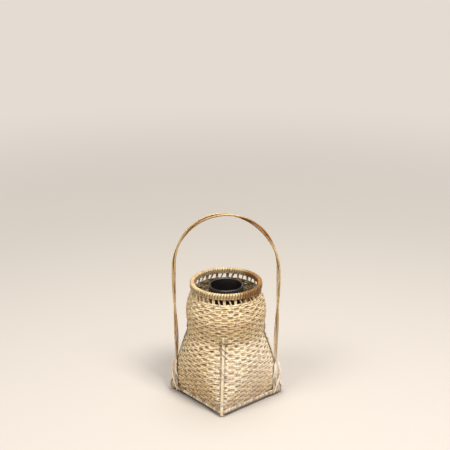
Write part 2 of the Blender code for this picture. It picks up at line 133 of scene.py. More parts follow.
def noise(place, scale, detail, roughness=0.5):
    """Output of a Noise node."""
    inputs = {"Vector": place, "Scale": scale, "Detail": detail, "Roughness": roughness}
    return joined("TexNoise", inputs)[0]


def drawn_out(*parts):
    """Vector of values, each times its own scale, for a pattern that runs along a strip."""
    scaled = {axis: times(value, scale) for axis, (value, scale) in enumerate(parts)}
    return joined("CombineXYZ", scaled)[0]


def srgb(red, green, blue):
    """Linear colour from 0 to 255 values."""
    linear = [((c / 255 + 0.055) / 1.055) ** 2.4 for c in (red, green, blue)]
    return (*linear, 1.0)


def new_group(name, inputs, outputs):
    """Empty shader group; returns its tree, its inputs and its output node.

    An input is a vector where its value is None, a colour where it is one, or else a number."""
    tree = bpy.data.node_groups.new(name, "ShaderNodeTree")
    for label, value in inputs.items():
        kind = "Vector" if value is None else "Color" if isinstance(value, tuple) else "Float"
        socket = tree.interface.new_socket(label, in_out="INPUT", socket_type="NodeSocket" + kind)
        if value is not None:
            socket.default_value = value
    for label, kind in outputs.items():
        tree.interface.new_socket(label, in_out="OUTPUT", socket_type="NodeSocket" + kind)
    given = tree.nodes.new("NodeGroupInput").outputs
    return tree, given, tree.nodes.new("NodeGroupOutput")


def bamboo_group():
    """Split bamboo along a strip: fibres, tone from strip to strip, knots, dull edges and painted
    shade.

    The strip map has metres along the strip, and the strip's number plus the share across it."""
    inputs = {"Strip": None, "Pale": srgb(225, 200, 160), "Deep": srgb(190, 150, 100),
              "Rosy": srgb(226, 190, 165), "Green": srgb(200, 186, 130), "Strip contrast": 0.6,
              "Fibre contrast": 0.4, "Bundle contrast": 0.2, "Knot spacing": 0.11,
              "Knot depth": 0.6, "Edge": 0.35, "Groove": 0.0, "Recess": 0.0, "Recess depth": 0.6}
    outputs = {"Color": "Color", "Roughness": "Float", "Height": "Float"}
    tree, given, out = new_group("split_bamboo_surface", inputs, outputs)
    metres, number_and_share, _ = joined("SeparateXYZ", {0: given["Strip"]})
    strip = maths("FLOOR", number_and_share)
    across = maths("SUBTRACT", number_and_share, strip)
    chance = joined("TexWhiteNoise", {1: maths("ADD", strip, 17.3)}, noise_dimensions="1D")
    hues = joined("SeparateXYZ", {0: chance[1]})

    # Patterns are scaled per metre along a strip, and per strip across it and from strip to
    # strip. Tone drifts slowly, over fine fibres and coarser bundles of them.
    slow = drawn_out((metres, 45.0), (strip, 5.1))
    fine = drawn_out((metres, 110.0), (across, 15.0), (strip, 3.7))
    coarse = drawn_out((metres, 200.0), (across, 2.6), (strip, 9.3))
    tone = noise(slow, 1.0, 4.0, 0.7)
    fibre = noise(fine, 1.0, 3.0)
    bundle = noise(coarse, 1.0, 1.0)
    fibrous = times(centred(fibre), given["Fibre contrast"])
    bundled = times(centred(bundle), given["Bundle contrast"])
    depth = added(0.45, centred(chance[0]), given["Strip contrast"])
    depth = added(depth, centred(tone), 0.8)
    depth = added(added(depth, bundled, 3.0), fibrous, 3.0, clamp=True)
    colour = blended(depth, given["Pale"], given["Deep"])
    drift = noise(slow, 0.45, 1.0)
    rosy = stepped(maths("ADD", hues[0], drift), 0.9, 1.5)
    green = stepped(maths("SUBTRACT", hues[1], drift), 0.15, 0.6)
    colour = blended(times(rosy, 0.6), colour, given["Rosy"])
    colour = blended(times(green, 0.6), colour, given["Green"])

    # A thin brown line stands at each knot, at places of its own on every strip.
    along = maths("DIVIDE", metres, given["Knot spacing"])
    along = maths("FRACT", added(along, chance[0], 7.0))
    apart = times(maths("ABSOLUTE", centred(along)), given["Knot spacing"])
    knot = times(remaining(stepped(apart, *KNOT_LINE)), given["Knot depth"])
    colour = blended(knot, colour, srgb(120, 84, 48))

    # Edges are dull and darker, partly dirt and partly painted shade where strips meet; a broken
    # dark line along the middle is the painted shade of a groove, and the shade attribute mixes in
    # painted shade, with some tone of its own.
    inwards = maths("MINIMUM", across, remaining(across))
    edge = times(remaining(stepped(inwards, *DULL_EDGE)), given["Edge"])
    colour = blended(edge, colour, srgb(126, 88, 52))
    broken = noise(drawn_out((metres, 210.0), (strip, 6.7)), 1.0, 1.0)
    middle = maths("ABSOLUTE", centred(across))
    groove = times(stepped(broken, 0.34, 0.52), given["Groove"])
    groove = times(remaining(stepped(middle, *GROOVE_LINE)), groove)
    colour = blended(groove, colour, srgb(92, 60, 32))
    shade_and_tone_mix = times(given["Recess"], given["Recess depth"])
    colour = blended(shade_and_tone_mix, colour, srgb(34, 22, 12))

    rough = added(added(0.36, edge, 0.3), fibre, 0.25)
    height = added(times(fibre, 0.7), knot, 0.8)
    feed(out, {"Color": colour, "Roughness": rough, "Height": height})
    return tree


def aged_and_painted_light_group():
    """Amber tone with brown patches from years of use, and painted light paler towards the key lamp.
    """
    inputs = {"Color": srgb(255, 255, 255), "Amount": 0.5, "Pale foot": 0.0}
    tree, given, out = new_group("age_and_painted_light", inputs, {"Color": "Color"})
    place = node(tree, "TexCoord").outputs["Object"]
    x, y, z = joined("SeparateXYZ", {0: place})
    patch = noise(place, 21.0, 3.0)
    mottle = noise(place, 170.0, 2.0)
    amount = given["Amount"]

    amber = added(0.15, amount, 0.5)
    colour = blended(amber, given["Color"], srgb(214, 188, 112), "MULTIPLY")
    # Painted light: the lower part of the front right, which the key lamp lights most, is paler.
    towards_key_lamp = added(times(x, KEY_LAMP_SIDE[0]), y, KEY_LAMP_SIDE[1])
    towards_key_lamp = added(towards_key_lamp, centred(patch), 0.10)
    painted_light = times(stepped(towards_key_lamp, *PAINTED_LIGHT_FROM), remaining(stepped(z, *PAINTED_LIGHT_UP_TO)))
    colour = blended(painted_light, colour, blended(0.25, given["Color"], srgb(240, 228, 212)))
    brown = times(stepped(patch, 0.48, 0.75), amount)
    colour = blended(brown, colour, srgb(176, 132, 84))

    # The rim and the stakes under it are browner and darker on the right.
    browner_right = times(stepped(z, *BROWNER_RIGHT_ABOVE), stepped(x, *BROWNER_RIGHT_FROM))
    browner_right = times(browner_right, remaining(stepped(x, *BROWNER_RIGHT_UP_TO)))
    colour = blended(browner_right, colour, srgb(198, 164, 124), "MULTIPLY")
    foot = times(remaining(stepped(z, *PALE_FOOT_UP_TO)), given["Pale foot"])
    colour = blended(foot, colour, srgb(240, 224, 198))
    spots = times(stepped(mottle, 0.55, 0.8), times(amount, 0.6))
    colour = blended(spots, colour, srgb(150, 108, 66))
    feed(out, {"Color": colour})
    return tree


bamboo = bamboo_group()
aged_and_painted_light = aged_and_painted_light_group()


def new_material(name):
    """Material, its tree and its shader."""
    material = bpy.data.materials.new(name)
    material.use_nodes = True
    return material, material.node_tree, material.node_tree.nodes["Principled BSDF"]


def bamboo_material(name, years_amount, bump, pale_foot=0.0, **values):
    """Material of split bamboo that follows the piece's own strip map."""
    material, tree, shader = new_material(name)
    # The attribute holds each piece's painted shade, with a little tone of its own.
    painted_shade_and_tone = node(tree, "Attribute", attribute_name="painted_shade_and_tone", attribute_type="GEOMETRY")
    inputs = {"Strip": node(tree, "UVMap", uv_map="strip").outputs[0],
              "Recess": painted_shade_and_tone.outputs["Fac"]}
    for label, value in values.items():
        label = label.replace("_", " ").capitalize()
        inputs[label] = srgb(*value) if isinstance(value, tuple) else value
    surface = node(tree, "Group", inputs, node_tree=bamboo).outputs
    inputs = {"Color": surface["Color"], "Amount": years_amount, "Pale foot": pale_foot}
    aged = node(tree, "Group", inputs, node_tree=aged_and_painted_light).outputs
    inputs = {"Height": surface["Height"], "Strength": bump, "Distance": RELIEF_DEPTH}
    relief = joined("Bump", inputs)
    feed(shader, {"Base Color": aged["Color"], "Roughness": surface["Roughness"],
                  "Normal": relief["Normal"], "Specular IOR Level": 0.35})
    return material


def placed(name, data):
    """Object in the scene, at the origin."""
    made = bpy.data.objects.new(name, data)
    bpy.context.scene.collection.objects.link(made)
    return made


def finished(name, mesh, material, slot, *replaced, body="basket", angle=50):
    """Make a piece of a mesh, on its body and in place of its CAD nodes."""
    mesh.shade_smooth()
    mesh.set_sharp_from_angle(angle=math.radians(angle))
    piece = placed(name, mesh)
    mesh.materials.append(material)
    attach(piece, body)
    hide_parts(*replaced)


def across_map(number, share):
    """Place across the strip map, a little in from the next strips' places."""
    return number + 0.02 + 0.96 * share


def softened_bar(name, number):
    """Copy of a bar's solid with soft edges, and its strip map laid along it."""
    bm = bmesh.new()
    bm.from_mesh(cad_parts[name].data)
    bmesh.ops.remove_doubles(bm, verts=bm.verts, dist=MERGED_WITHIN)
    bmesh.ops.dissolve_limit(bm, angle_limit=FLAT_WITHIN, verts=bm.verts, edges=bm.edges)
    bmesh.ops.bevel(bm, geom=bm.edges, offset=BAR_SOFT_EDGE, segments=3, profile=0.5,
                    affect="EDGES", material=-1, clamp_overlap=True)
    bmesh.ops.triangulate(bm, faces=bm.faces)
    low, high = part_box(name)
    lengthwise = 0 if high.x - low.x > high.y - low.y else 1
    for layer in list(bm.loops.layers.uv.values()):
        bm.loops.layers.uv.remove(layer)
    strip = bm.loops.layers.uv.new("strip")
    for face in bm.faces:
        for corner in face.loops:
            place = corner.vert.co
            share = min(max(place[1 - lengthwise] / BAR_WIDTH + 0.5, 0.0), 1.0)
            corner[strip].uv = (place[lengthwise], across_map(number, share))
    mesh = bpy.data.meshes.new(name + "_split")
    bm.to_mesh(mesh)
    bm.free()
    mesh.materials.clear()
    return mesh


bar_finish = bamboo_material("bar_bamboo", 0.6, 0.5, Pale=(205, 165, 125), Deep=(150, 105, 66),
                             Strip_contrast=0.3, Fibre_contrast=0.6, Knot_spacing=0.14, Edge=0.25)
for number, name in enumerate(("foot_bar_side_to_side", "foot_bar_front_to_back")):
    finished(name + "_split", softened_bar(name, number), bar_finish, "split_bamboo", name, angle=40)

# Mat that closes the base: flat strips in two directions, plainly woven, each over one and
# under one. It stands on the bars, and the water tube stands on it.
BODY_FOOT = 0.0043
MAT_MIDDLE = 0.0061
MAT_STRIPS = 14
MAT_PITCH = 0.0090
MAT_STRIP_HALF_WIDTH = 0.0042
MAT_STRIP_HALF_THICK = 0.0006
MAT_LIFT = 0.0007
MAT_BEND = 1.5
ROOT2 = math.sqrt(2)
SEAM_MERGED_WITHIN = 0.000001


def laid_strips(name, layout, place, finish, slot, *replaced):
    """Piece of like strips: a grid for each, which place() bends round its section and lays out.

    The layout is their number, their steps lengthwise and the sides of their section. place()
    gets strip numbers, shares of the length and shares round the section, and returns the
    points, the metres along the strip, the share across it and how dark it is painted, from 0
    to 1: mostly painted shade, with some tone of its own."""
    count, steps, sides = layout
    bm = bmesh.new()
    bm.loops.layers.uv.new("strip")
    for number in range(count):
        bmesh.ops.create_grid(bm, x_segments=steps, y_segments=sides, size=1.0,
                              matrix=Matrix.Translation((0.0, 0.0, number)))
    mesh = bpy.data.meshes.new(name)
    bm.to_mesh(mesh)
    flat = np.empty(3 * len(mesh.vertices), dtype=np.float32)
    mesh.vertices.foreach_get("co", flat)
    flat = flat.reshape(-1, 3).astype(float)
    number = np.rint(flat[:, 2])
    points, metres, across, dark = place(number, (flat[:, 0] + 1) / 2, (flat[:, 1] + 1) / 2)
    mesh.vertices.foreach_set("co", points.astype(np.float32).ravel())
    painted_shade_and_tone = mesh.attributes.new("painted_shade_and_tone", "FLOAT", "POINT")
    painted_shade_and_tone.data.foreach_set("value", np.broadcast_to(dark, number.shape).astype(np.float32))
    corners = np.empty(len(mesh.loops), dtype=np.int32)
    mesh.loops.foreach_get("vertex_index", corners)
    strip_map = np.stack([metres, across_map(number, across)], axis=1)[corners]
    mesh.uv_layers["strip"].data.foreach_set("uv", strip_map.astype(np.float32).ravel())
    bm.clear()
    bm.from_mesh(mesh)
    bmesh.ops.remove_doubles(bm, verts=bm.verts, dist=SEAM_MERGED_WITHIN)
    bmesh.ops.holes_fill(bm, edges=bm.edges, sides=0)
    bmesh.ops.recalc_face_normals(bm, faces=bm.faces)
    bm.to_mesh(mesh)
    bm.free()
    finished(name, mesh, finish, slot, *replaced)


def squared(wave, roundness):
    """A sine or cosine drawn out towards 1 and -1; a roundness of 1 leaves it as it is."""
    return np.where(np.abs(wave) < 1e-9, 0.0, np.sign(wave) * np.abs(wave) ** roundness)


def strip_section(v, half_width, half_thick, roundness=0.5):
    """Across, outwards and share across, of a point round a strip's domed section."""
    across = squared(np.cos(2 * np.pi * v), roundness)
    outwards = squared(np.sin(2 * np.pi * v), roundness)
    return across * half_width, outwards * half_thick, (across + 1) / 2


def mat_place(number, u, v):
    """Strips 0 to 13 run one way, and the rest the other way, out of step with them."""
    across, outwards, share = strip_section(v, MAT_STRIP_HALF_WIDTH, MAT_STRIP_HALF_THICK)
    turned = number >= MAT_STRIPS
    line = number % MAT_STRIPS
    along = (2 * u - 1) * MAT_STRIPS * MAT_PITCH / 2
    beside = (line - (MAT_STRIPS - 1) / 2) * MAT_PITCH + across
    over_or_under = np.where(line % 2 == 0, 1, -1) * np.where(turned, 1, -1)
    wave = np.sin(np.pi * (along / MAT_PITCH)) * over_or_under
    height = MAT_MIDDLE + MAT_LIFT * np.tanh(MAT_BEND * wave) + outwards
    first = np.where(turned, beside, along)
    second = np.where(turned, along, beside)
    points = np.stack([(first - second) / ROOT2, (first + second) / ROOT2, height], axis=1)
    # Painted shade: a strip is darker where it dips under the strips of the other way.
    return points, along, share, (1 - wave) / 2


mat_finish = bamboo_material("mat_bamboo", 0.7, 0.4, Pale=(206, 176, 132), Deep=(164, 126, 82),
                             Strip_contrast=0.8, Edge=0.5)
laid_strips("base_mat_woven", (2 * MAT_STRIPS, 4 * MAT_STRIPS, 8), mat_place, mat_finish,
            "woven_bamboo", "base_mat")

# Weavers of the body: long thin strips of split bamboo, each over one stake and under the next,
# beaten down close. They lie square at the foot and round from the neck up.
BODY_HALF = 0.0672
BODY_CORNER = 0.0050
UPRIGHT_HEIGHT = 0.0081
TURN_HEIGHT = 0.1150
NECK_RADIUS = 0.0665
SHOULDER_HEIGHT = 0.1570
SHOULDER_RADIUS = 0.0704
BODY_HEIGHT = 0.1900
MOUTH_RADIUS = 0.0623
WALL_CURVE = 1.6
BAND_TOP = 0.2034
BAND_NARROWING = 0.0020
STAKES = 40
STAKE_START = 0.17
WEAVER_ROWS = 39
LOWER_ROWS = 20
WEAVER_STEPS = 6 * STAKES
WEAVER_HALF_WIDTH = 0.00250
WEAVER_SWELL_INSIDE = 0.00100
WEAVER_HALF_THICK = 0.00048
WEAVER_SWING = 0.00070
WEAVER_BEND = 1.6
WEAVE_MIDDLE = -0.0013
WEAVER_TILT = 0.10
WEAVER_WAVER = 0.00026
WAVERS_IN_A_ROW = (3, 8, 17)
WAVER_STRENGTHS = (0.3, 1.0)
ROW_WIDTHS = (0.96, 1.05)
UNEVEN_AT_MOST = 1.8
UNEVEN_WIDTH = 0.05
UNEVEN_SWING = 0.15
CROSSING_JITTER = 0.00020
STIFF_ROUNDNESS = 0.35
LOWEST = 0.0004
FRONT_CORNER = 0.75
DARKER_BELOW = (0.075, 0.040)
DARK_BESIDE_RIB = (0.0050, 0.0038)
DARK_BELOW_RIB_TOP = (0.128, 0.124)
TIGHT_PATCH_SHARES = (0.912, 0.965)
TIGHT_PATCH_HEIGHTS = (0.018, 0.060)
TIGHT_PATCH_EDGE = 0.004
DARK_BESIDE_STRANDS = (0.019, 0.016)
DARK_BELOW_STRANDS = (0.041, 0.035)
# Random strengths of the painted shade at each crossing of a weaver and a stake.
gaps_under_weavers, gaps_over_weavers = 0.4 + 0.6 * np.random.default_rng(23).uniform(
    0, 1, (2, WEAVER_ROWS, STAKES))


def ramp(value, start, end):
    """Share of the way from start to end, which may lie below start."""
    return np.clip((value - start) / (end - start), 0, 1)


def inside(value, low, high, edge):
    """1 between low and high, and 0 outside them, with an edge of some width."""
    return np.clip(np.minimum(value - low, high - value) / edge, 0, 1)


def eased(share):
    """A share that starts and ends gently."""
    return share * share * (3 - 2 * share)


def body_section(height):
    """Half width and corner radius of the weave's outer face, and of the stakes above it."""
    foot_reach = (BODY_HALF - BODY_CORNER) * ROOT2 + BODY_CORNER
    turned = ramp(height, UPRIGHT_HEIGHT, TURN_HEIGHT)
    reach = foot_reach + (NECK_RADIUS - foot_reach) * turned ** WALL_CURVE
    half = reach / (1 + (foot_reach / BODY_HALF - 1) * (1 - turned) ** 2)
    corner = (half * ROOT2 - reach) / (ROOT2 - 1)
    swell = (1 - np.cos(np.pi * ramp(height, TURN_HEIGHT, SHOULDER_HEIGHT))) / 2
    closing = ramp(height, SHOULDER_HEIGHT, BODY_HEIGHT) ** WALL_CURVE
    above = (SHOULDER_RADIUS - NECK_RADIUS) * swell + (MOUTH_RADIUS - SHOULDER_RADIUS) * closing
    above = above - BAND_NARROWING * ramp(height, BODY_HEIGHT, BAND_TOP)
    return half + above, corner + above


def around(height, offset=0.0):
    """Length of the outer face all round at a height, with its corners wider by an offset."""
    half, corner = body_section(height)
    return 8 * (half - corner) + 2 * np.pi * (corner + offset)


def wall(share, height, offset):
    """Points beside the weave's outer face."""
    half, corner = body_section(height)
    half = half + offset
    corner = corner + offset
    turn = 4 * share
    nearest = np.rint(turn)
    along = (turn - nearest) * (2 * (half - corner) + corner * np.pi / 2)
    bent = np.minimum(np.abs(along), corner * np.pi / 4)
    straight = (np.abs(along) - bent) / ROOT2
    x = (half - corner) * ROOT2 + corner * np.cos(bent / corner) - straight
    y = np.sign(along) * (corner * np.sin(bent / corner) + straight)
    angle = nearest * np.pi / 2
    return np.stack([x * np.cos(angle) - y * np.sin(angle),
                     x * np.sin(angle) + y * np.cos(angle), BODY_FOOT + height], axis=1)


def from_corner(share, height, corners):
    """Distance round the wall to the nearest of some evenly set corners."""
    return np.abs(share - np.rint(corners * share) / corners) * around(height)


def between_stakes(values, row, u):
    """Smooth curve round each row through its values at the stakes."""
    place = STAKES * u - STAKE_START
    before = np.floor(place).astype(int)
    share = eased(place - before)
    return values[row, before % STAKES] * (1 - share) + values[row, (before + 1) % STAKES] * share


def tight_patch(share, height):
    """1 in the smooth patch at the foot of the front right wall, where the rows lie tight."""
    return (inside(share, *TIGHT_PATCH_SHARES, TIGHT_PATCH_EDGE)
            * inside(height, *TIGHT_PATCH_HEIGHTS, TIGHT_PATCH_EDGE))


def under_strands(share, height):
    """1 in the shade of the strands that run down beside the two side corners."""
    beside = from_corner(share, height, 2)
    return ramp(beside, *DARK_BESIDE_STRANDS) * ramp(height, *DARK_BELOW_STRANDS)


def weaver_place(first_row):
    """Place function for the weavers from a row upwards, each a closed ring."""
    chance = np.random.default_rng(41)
    phases = chance.uniform(0, 2 * np.pi, (WEAVER_ROWS, len(WAVERS_IN_A_ROW)))
    strengths = chance.uniform(*WAVER_STRENGTHS, (WEAVER_ROWS, len(WAVERS_IN_A_ROW)))
    widths = chance.uniform(*ROW_WIDTHS, WEAVER_ROWS)
    uneven = chance.normal(0, 1, (3, WEAVER_ROWS, STAKES)).clip(-UNEVEN_AT_MOST, UNEVEN_AT_MOST)

    def place(number, u, v):
        row = (number + first_row).astype(int)
        wider, higher, further = [between_stakes(values, row, u) for values in uneven]
        wave = np.cos(np.pi * (STAKES * u - STAKE_START)) * np.where(row % 2 == 0, 1, -1)
        lift = np.tanh(WEAVER_BEND * wave) / np.tanh(WEAVER_BEND)
        half_width = WEAVER_HALF_WIDTH + WEAVER_SWELL_INSIDE * np.clip(-lift, 0, 1)
        half_width = half_width * widths[row] * (1 + UNEVEN_WIDTH * wider)
        across, outwards, share = strip_section(v, half_width, WEAVER_HALF_THICK, STIFF_ROUNDNESS)
        waver = sum(strengths[row, k] * np.sin(2 * np.pi * turns * u + phases[row, k])
                    for k, turns in enumerate(WAVERS_IN_A_ROW))
        height = (row + 0.5) * BODY_HEIGHT / WEAVER_ROWS + WEAVER_WAVER * waver + across
        height = np.clip(height + CROSSING_JITTER * higher, LOWEST, BODY_HEIGHT)
        swing = WEAVER_SWING * (1 + UNEVEN_SWING * further)
        offset = WEAVE_MIDDLE + swing * lift + outwards - WEAVER_TILT * across

        # Painted shade where a weaver dips behind a stake, most along its upper edge and near the
        # foot, and also close beside the ribs, less so on the front right wall, and under the strands.
        low = ramp(height, *DARKER_BELOW)
        behind = np.clip(-0.1 - 1.2 * lift, 0, 1) * np.clip(3 * share - 1.0 + 0.5 * low, 0, 1)
        dark = (0.7 + 0.3 * low) * behind * between_stakes(gaps_under_weavers, row, u)
        dark = dark * (1 - 0.8 * tight_patch(u, height))
        beside = np.minimum(ramp(from_corner(u, height, 4), *DARK_BESIDE_RIB), 0.8)
        beside = beside * ramp(height, *DARK_BELOW_RIB_TOP) * np.where(u > FRONT_CORNER, 0.4, 1.0)
        beside = np.maximum(beside, under_strands(u, height))
        dark = np.maximum(dark, beside * between_stakes(gaps_over_weavers, row, u))
        return wall(u, height, offset), u * around(height), share, dark

    return place


weave_finish = bamboo_material("weaver_bamboo", 0.25, 0.5, Pale=(252, 239, 208), Deep=(194, 160, 110),
                               Rosy=(246, 222, 194), Green=(234, 218, 168), Strip_contrast=0.2,
                               Fibre_contrast=0.6, Bundle_contrast=1.1, Knot_spacing=0.16,
                               Edge=0.15, Groove=0.9, Recess_depth=1.0)
laid_strips("weavers_lower", (LOWER_ROWS, WEAVER_STEPS, 8), weaver_place(0), weave_finish,
            "woven_bamboo", "body_weave")
laid_strips("weavers_upper", (WEAVER_ROWS - LOWER_ROWS, WEAVER_STEPS, 8), weaver_place(LOWER_ROWS),
            weave_finish, "woven_bamboo", "body_weave")

# Stakes: 40 stiffer strips that stand in the weave from the foot up. Above it they cross the
# open band, upright and leaning by turns, and end between the two hoops of the rim.
STAKE_HALF_WIDTHS = (0.0035, 0.0025)
STAKE_NARROWED_AT = 0.12
UPRIGHT_HALF_WIDTH_IN_BAND = 0.0024
LEANING_HALF_WIDTH_IN_BAND = 0.0015
STAKE_HALF_THICK = 0.00045
STAKE_SWING = 0.00045
STAKE_FOOT = 0.0006
STAKE_TOP = 0.2074
STAKE_STEPS = 129
LEANING_SIDEWAYS = 0.0049
UPRIGHT_SIDEWAYS = 0.0006
STAKE_LEAN_FROM = 0.1650
STAKE_LEAN_RISE = 0.0094
BAND_START = 0.006
BAND_DARK_FROM = (0.004, 0.012)
STAKE_DARK_EDGE_FROM = (0.05, 0.08)
band_unevenness = np.random.default_rng(5).uniform(0.75, 1.25, (2, STAKES))


def stake_place(number, u, v):
    """Stakes from the foot of the weave to the top of the hoops."""
    stake = number.astype(int)
    wider, further = band_unevenness[:, stake]
    leaning = number % 2 == 1
    height = STAKE_FOOT + (STAKE_TOP - STAKE_FOOT) * u
    row = height * WEAVER_ROWS / BODY_HEIGHT - 0.5
    in_band = ramp(height, BODY_HEIGHT - BAND_START, BODY_HEIGHT)
    below = np.interp(height, [0, STAKE_NARROWED_AT], STAKE_HALF_WIDTHS)
    above = np.where(leaning, LEANING_HALF_WIDTH_IN_BAND, UPRIGHT_HALF_WIDTH_IN_BAND) * wider
    half_width = below + (above - below) * in_band
    across, outwards, share = strip_section(v, half_width, STAKE_HALF_THICK, STIFF_ROUNDNESS)
    swing = STAKE_SWING * np.cos(np.pi * row) * np.where(leaning, -1, 1) * (1 - in_band)
    offset = WEAVE_MIDDLE - swing + outwards
    turns = [STAKE_LEAN_FROM, BODY_HEIGHT, BODY_HEIGHT + STAKE_LEAN_RISE, STAKE_TOP]
    sideways = np.where(leaning, LEANING_SIDEWAYS, UPRIGHT_SIDEWAYS) * further
    middle = (number + STAKE_START) / STAKES + sideways * np.interp(height, turns, [0, 1, -1, -1])

    # Painted shade, from the middle of each row upwards under the crossing weaver and, less, at its
    # lower edge, under the strands, and in the band close under the rim.
    nearest = np.clip(np.rint(row), 0, WEAVER_ROWS - 1).astype(int)
    past = row - nearest
    edge = 0.75 + 0.15 * ramp(height, *STAKE_DARK_EDGE_FROM)
    dark = np.clip(6 * past + edge, 0, 1) * gaps_under_weavers[nearest, stake]
    dark = dark + 0.9 * np.clip(-1.8 - 8 * past, 0, 1) * gaps_over_weavers[nearest, stake] ** 2
    dark = dark * (1 - 0.8 * tight_patch((number + 0.5) / STAKES, height))
    dark = np.maximum(dark, 0.8 * under_strands((number + STAKE_START) / STAKES, height))
    dark = dark * (1 - in_band) + 0.5 * ramp(height - BODY_HEIGHT, *BAND_DARK_FROM)
    return wall(middle + across / around(height), height, offset), height, share, dark


stake_finish = bamboo_material("stake_bamboo", 0.3, 0.5, Pale=(248, 234, 206), Deep=(206, 174, 126),
                               Rosy=(236, 212, 190), Green=(224, 208, 168), Strip_contrast=0.4,
                               Fibre_contrast=0.6, Knot_spacing=0.12, Edge=0.3, Recess_depth=1.0)
laid_strips("stakes", (STAKES, STAKE_STEPS, 8), stake_place, stake_finish, "split_bamboo",
            "body_weave", "band_stakes")

# Foot edge: a split hoop lies round the foot of the weave, and one long strip is wound over
# it on a slant and through the weave, close but not quite edge to edge.
HOOP_OFFSET = 0.00145
HOOP_HALF_THICK = 0.00105
HOOP_MIDDLE = 0.0034
HOOP_HALF_HEIGHT = 0.0028
HOOP_DARKNESS = 0.4
FOOT_WINDS = 160
FOOT_STRIP = (0.00150, 0.00035)
FOOT_LOOP = (0.0017, 0.0033, 0.0011)
FOOT_SHADE_BELOW = (-0.0001, -0.0009)
dark_turns = 0.72 * np.random.default_rng(31).uniform(0, 1, FOOT_WINDS) ** 3


def hoop_place(number, u, v):
    """One hoop round the foot, standing on edge."""
    across, outwards, share = strip_section(v, HOOP_HALF_HEIGHT, HOOP_HALF_THICK)
    height = HOOP_MIDDLE + across
    # Painted shade: the hoop is darkened all over, as it shows only between the wound turns.
    return wall(u, height, HOOP_OFFSET + outwards), u * around(height), share, HOOP_DARKNESS


def rounded_loop(turn, half_x, half_y, bend):
    """Points, outward directions and length of a rounded rectangle, from the middle of its +X side."""
    run_x = half_x - bend
    run_y = half_y - bend
    arc = bend * np.pi / 2
    quarter = run_x + run_y + arc
    turn = np.mod(turn, 1.0)
    k = np.floor(4 * turn).astype(int)
    distance = (4 * turn - k) * quarter
    distance = np.where(k % 2 == 1, quarter - distance, distance)
    bent = np.clip(distance - run_y, 0, arc) / bend
    x = run_x + bend * np.cos(bent) - np.clip(distance - run_y - arc, 0, None)
    y = np.minimum(distance, run_y) + bend * np.sin(bent)
    flip_x = np.where((k == 0) | (k == 3), 1, -1)
    flip_y = np.where((k == 0) | (k == 1), 1, -1)
    return x * flip_x, y * flip_y, np.cos(bent) * flip_x, np.sin(bent) * flip_y, 4 * quarter


def wound_turn(u, v, strip, loop):
    """Turn of a flat strip round a loop: where a point is across the strip, its share across it,
    its places sideways and up from the loop's middle, the strip's own height, and the length."""
    across, outwards, share = strip_section(v, *strip)
    x, y, out_x, out_y, length = rounded_loop(u + 0.5, *loop)
    return across, share, x + outwards * out_x, y + outwards * out_y, y, length


def foot_wind_place(number, u, v):
    """One endless strip, a turn to each number, wound round the hoop as it goes round the foot."""
    across, share, sideways, up, y, metres = wound_turn(u, v, FOOT_STRIP, FOOT_LOOP)
    height = HOOP_MIDDLE + up
    middle = (number + u) / FOOT_WINDS
    # Painted shade darkens the lower edge of each turn; some turns, at random, are darker in tone.
    shade_and_dark_turns = np.maximum(ramp(y, *FOOT_SHADE_BELOW), dark_turns[number.astype(int)])
    points = wall(middle + across / around(height), height, HOOP_OFFSET + sideways)
    return points, (number + u) * metres, share, shade_and_dark_turns


hoop_finish = bamboo_material("hoop_bamboo", 0.6, 0.5, Pale=(180, 138, 96), Deep=(128, 90, 56),
                              Strip_contrast=0.2, Fibre_contrast=0.6, Knot_spacing=0.17)
wound_finish = bamboo_material("wound_bamboo", 0.1, 0.4, Pale=(254, 246, 226), Deep=(196, 164, 118),
                               Rosy=(242, 224, 198), Green=(234, 222, 186), Strip_contrast=1.0,
                               Fibre_contrast=0.5, Knot_spacing=0.21, Edge=0.8, Recess_depth=1.0)
laid_strips("foot_hoop_split", (1, 240, 12), hoop_place, hoop_finish, "split_bamboo", "foot_hoop")
laid_strips("foot_edge_wound", (FOOT_WINDS, 28, 6), foot_wind_place, wound_finish, "wound_strip",
            "foot_binding")

# Rim: the stake ends stand between an outer and an inner hoop, and a strip is wound over both,
# two turns to a stake. The turns are dark along two lines low down, the lower of them painted
# shade, and painted shade darkens some turns on the right towards their edges.
RIM_MIDDLE_RADIUS = 0.0590
RIM_MIDDLE_HEIGHT = 0.2081
RIM_HOOP_HALF_THICK = 0.00085
RIM_HOOP_HALF_HEIGHT = 0.0041
RIM_HOOP_APART = 0.00178
RIM_HOOP_LOWER = 0.0002
RIM_HOOP_DARKNESS = 0.6
RIM_WINDS = 80
RIM_STRIP = (0.00195, 0.00038)
RIM_LOOP = (0.0034, 0.0048, 0.0016)
RIM_SHADES = ((-0.0048, 0.54), (-0.0040, 0.18), (-0.0030, 0.03), (-0.0022, 0.06), (-0.0014, 0.6),
              (-0.0006, 0.36), (0.0016, 0.24), (0.0034, 0.0))
RIM_SHADED_TURNS_AT = 0.90
RIM_SHADED_TURNS_REACH = 0.04
turn_shades = 0.9 * np.random.default_rng(37).uniform(0, 1, RIM_WINDS) ** 0.5


def ring_points(share, radius, z):
    """Points of a round ring."""
    angle = 2 * np.pi * share
    return np.stack([radius * np.cos(angle), radius * np.sin(angle), z], axis=1)


def rim_hoop_place(number, u, v):
    """Hoop 0 is inside the stake ends, and hoop 1 outside them."""
    across, outwards, share = strip_section(v, RIM_HOOP_HALF_HEIGHT, RIM_HOOP_HALF_THICK)
    radius = RIM_MIDDLE_RADIUS + np.where(number > 0.5, RIM_HOOP_APART, -RIM_HOOP_APART) + outwards
    points = ring_points(u, radius, RIM_MIDDLE_HEIGHT + across - RIM_HOOP_LOWER)
    # Painted shade: the hoops are darkened all over, as they show only between the wound turns.
    return points, u * 2 * np.pi * radius, share, RIM_HOOP_DARKNESS


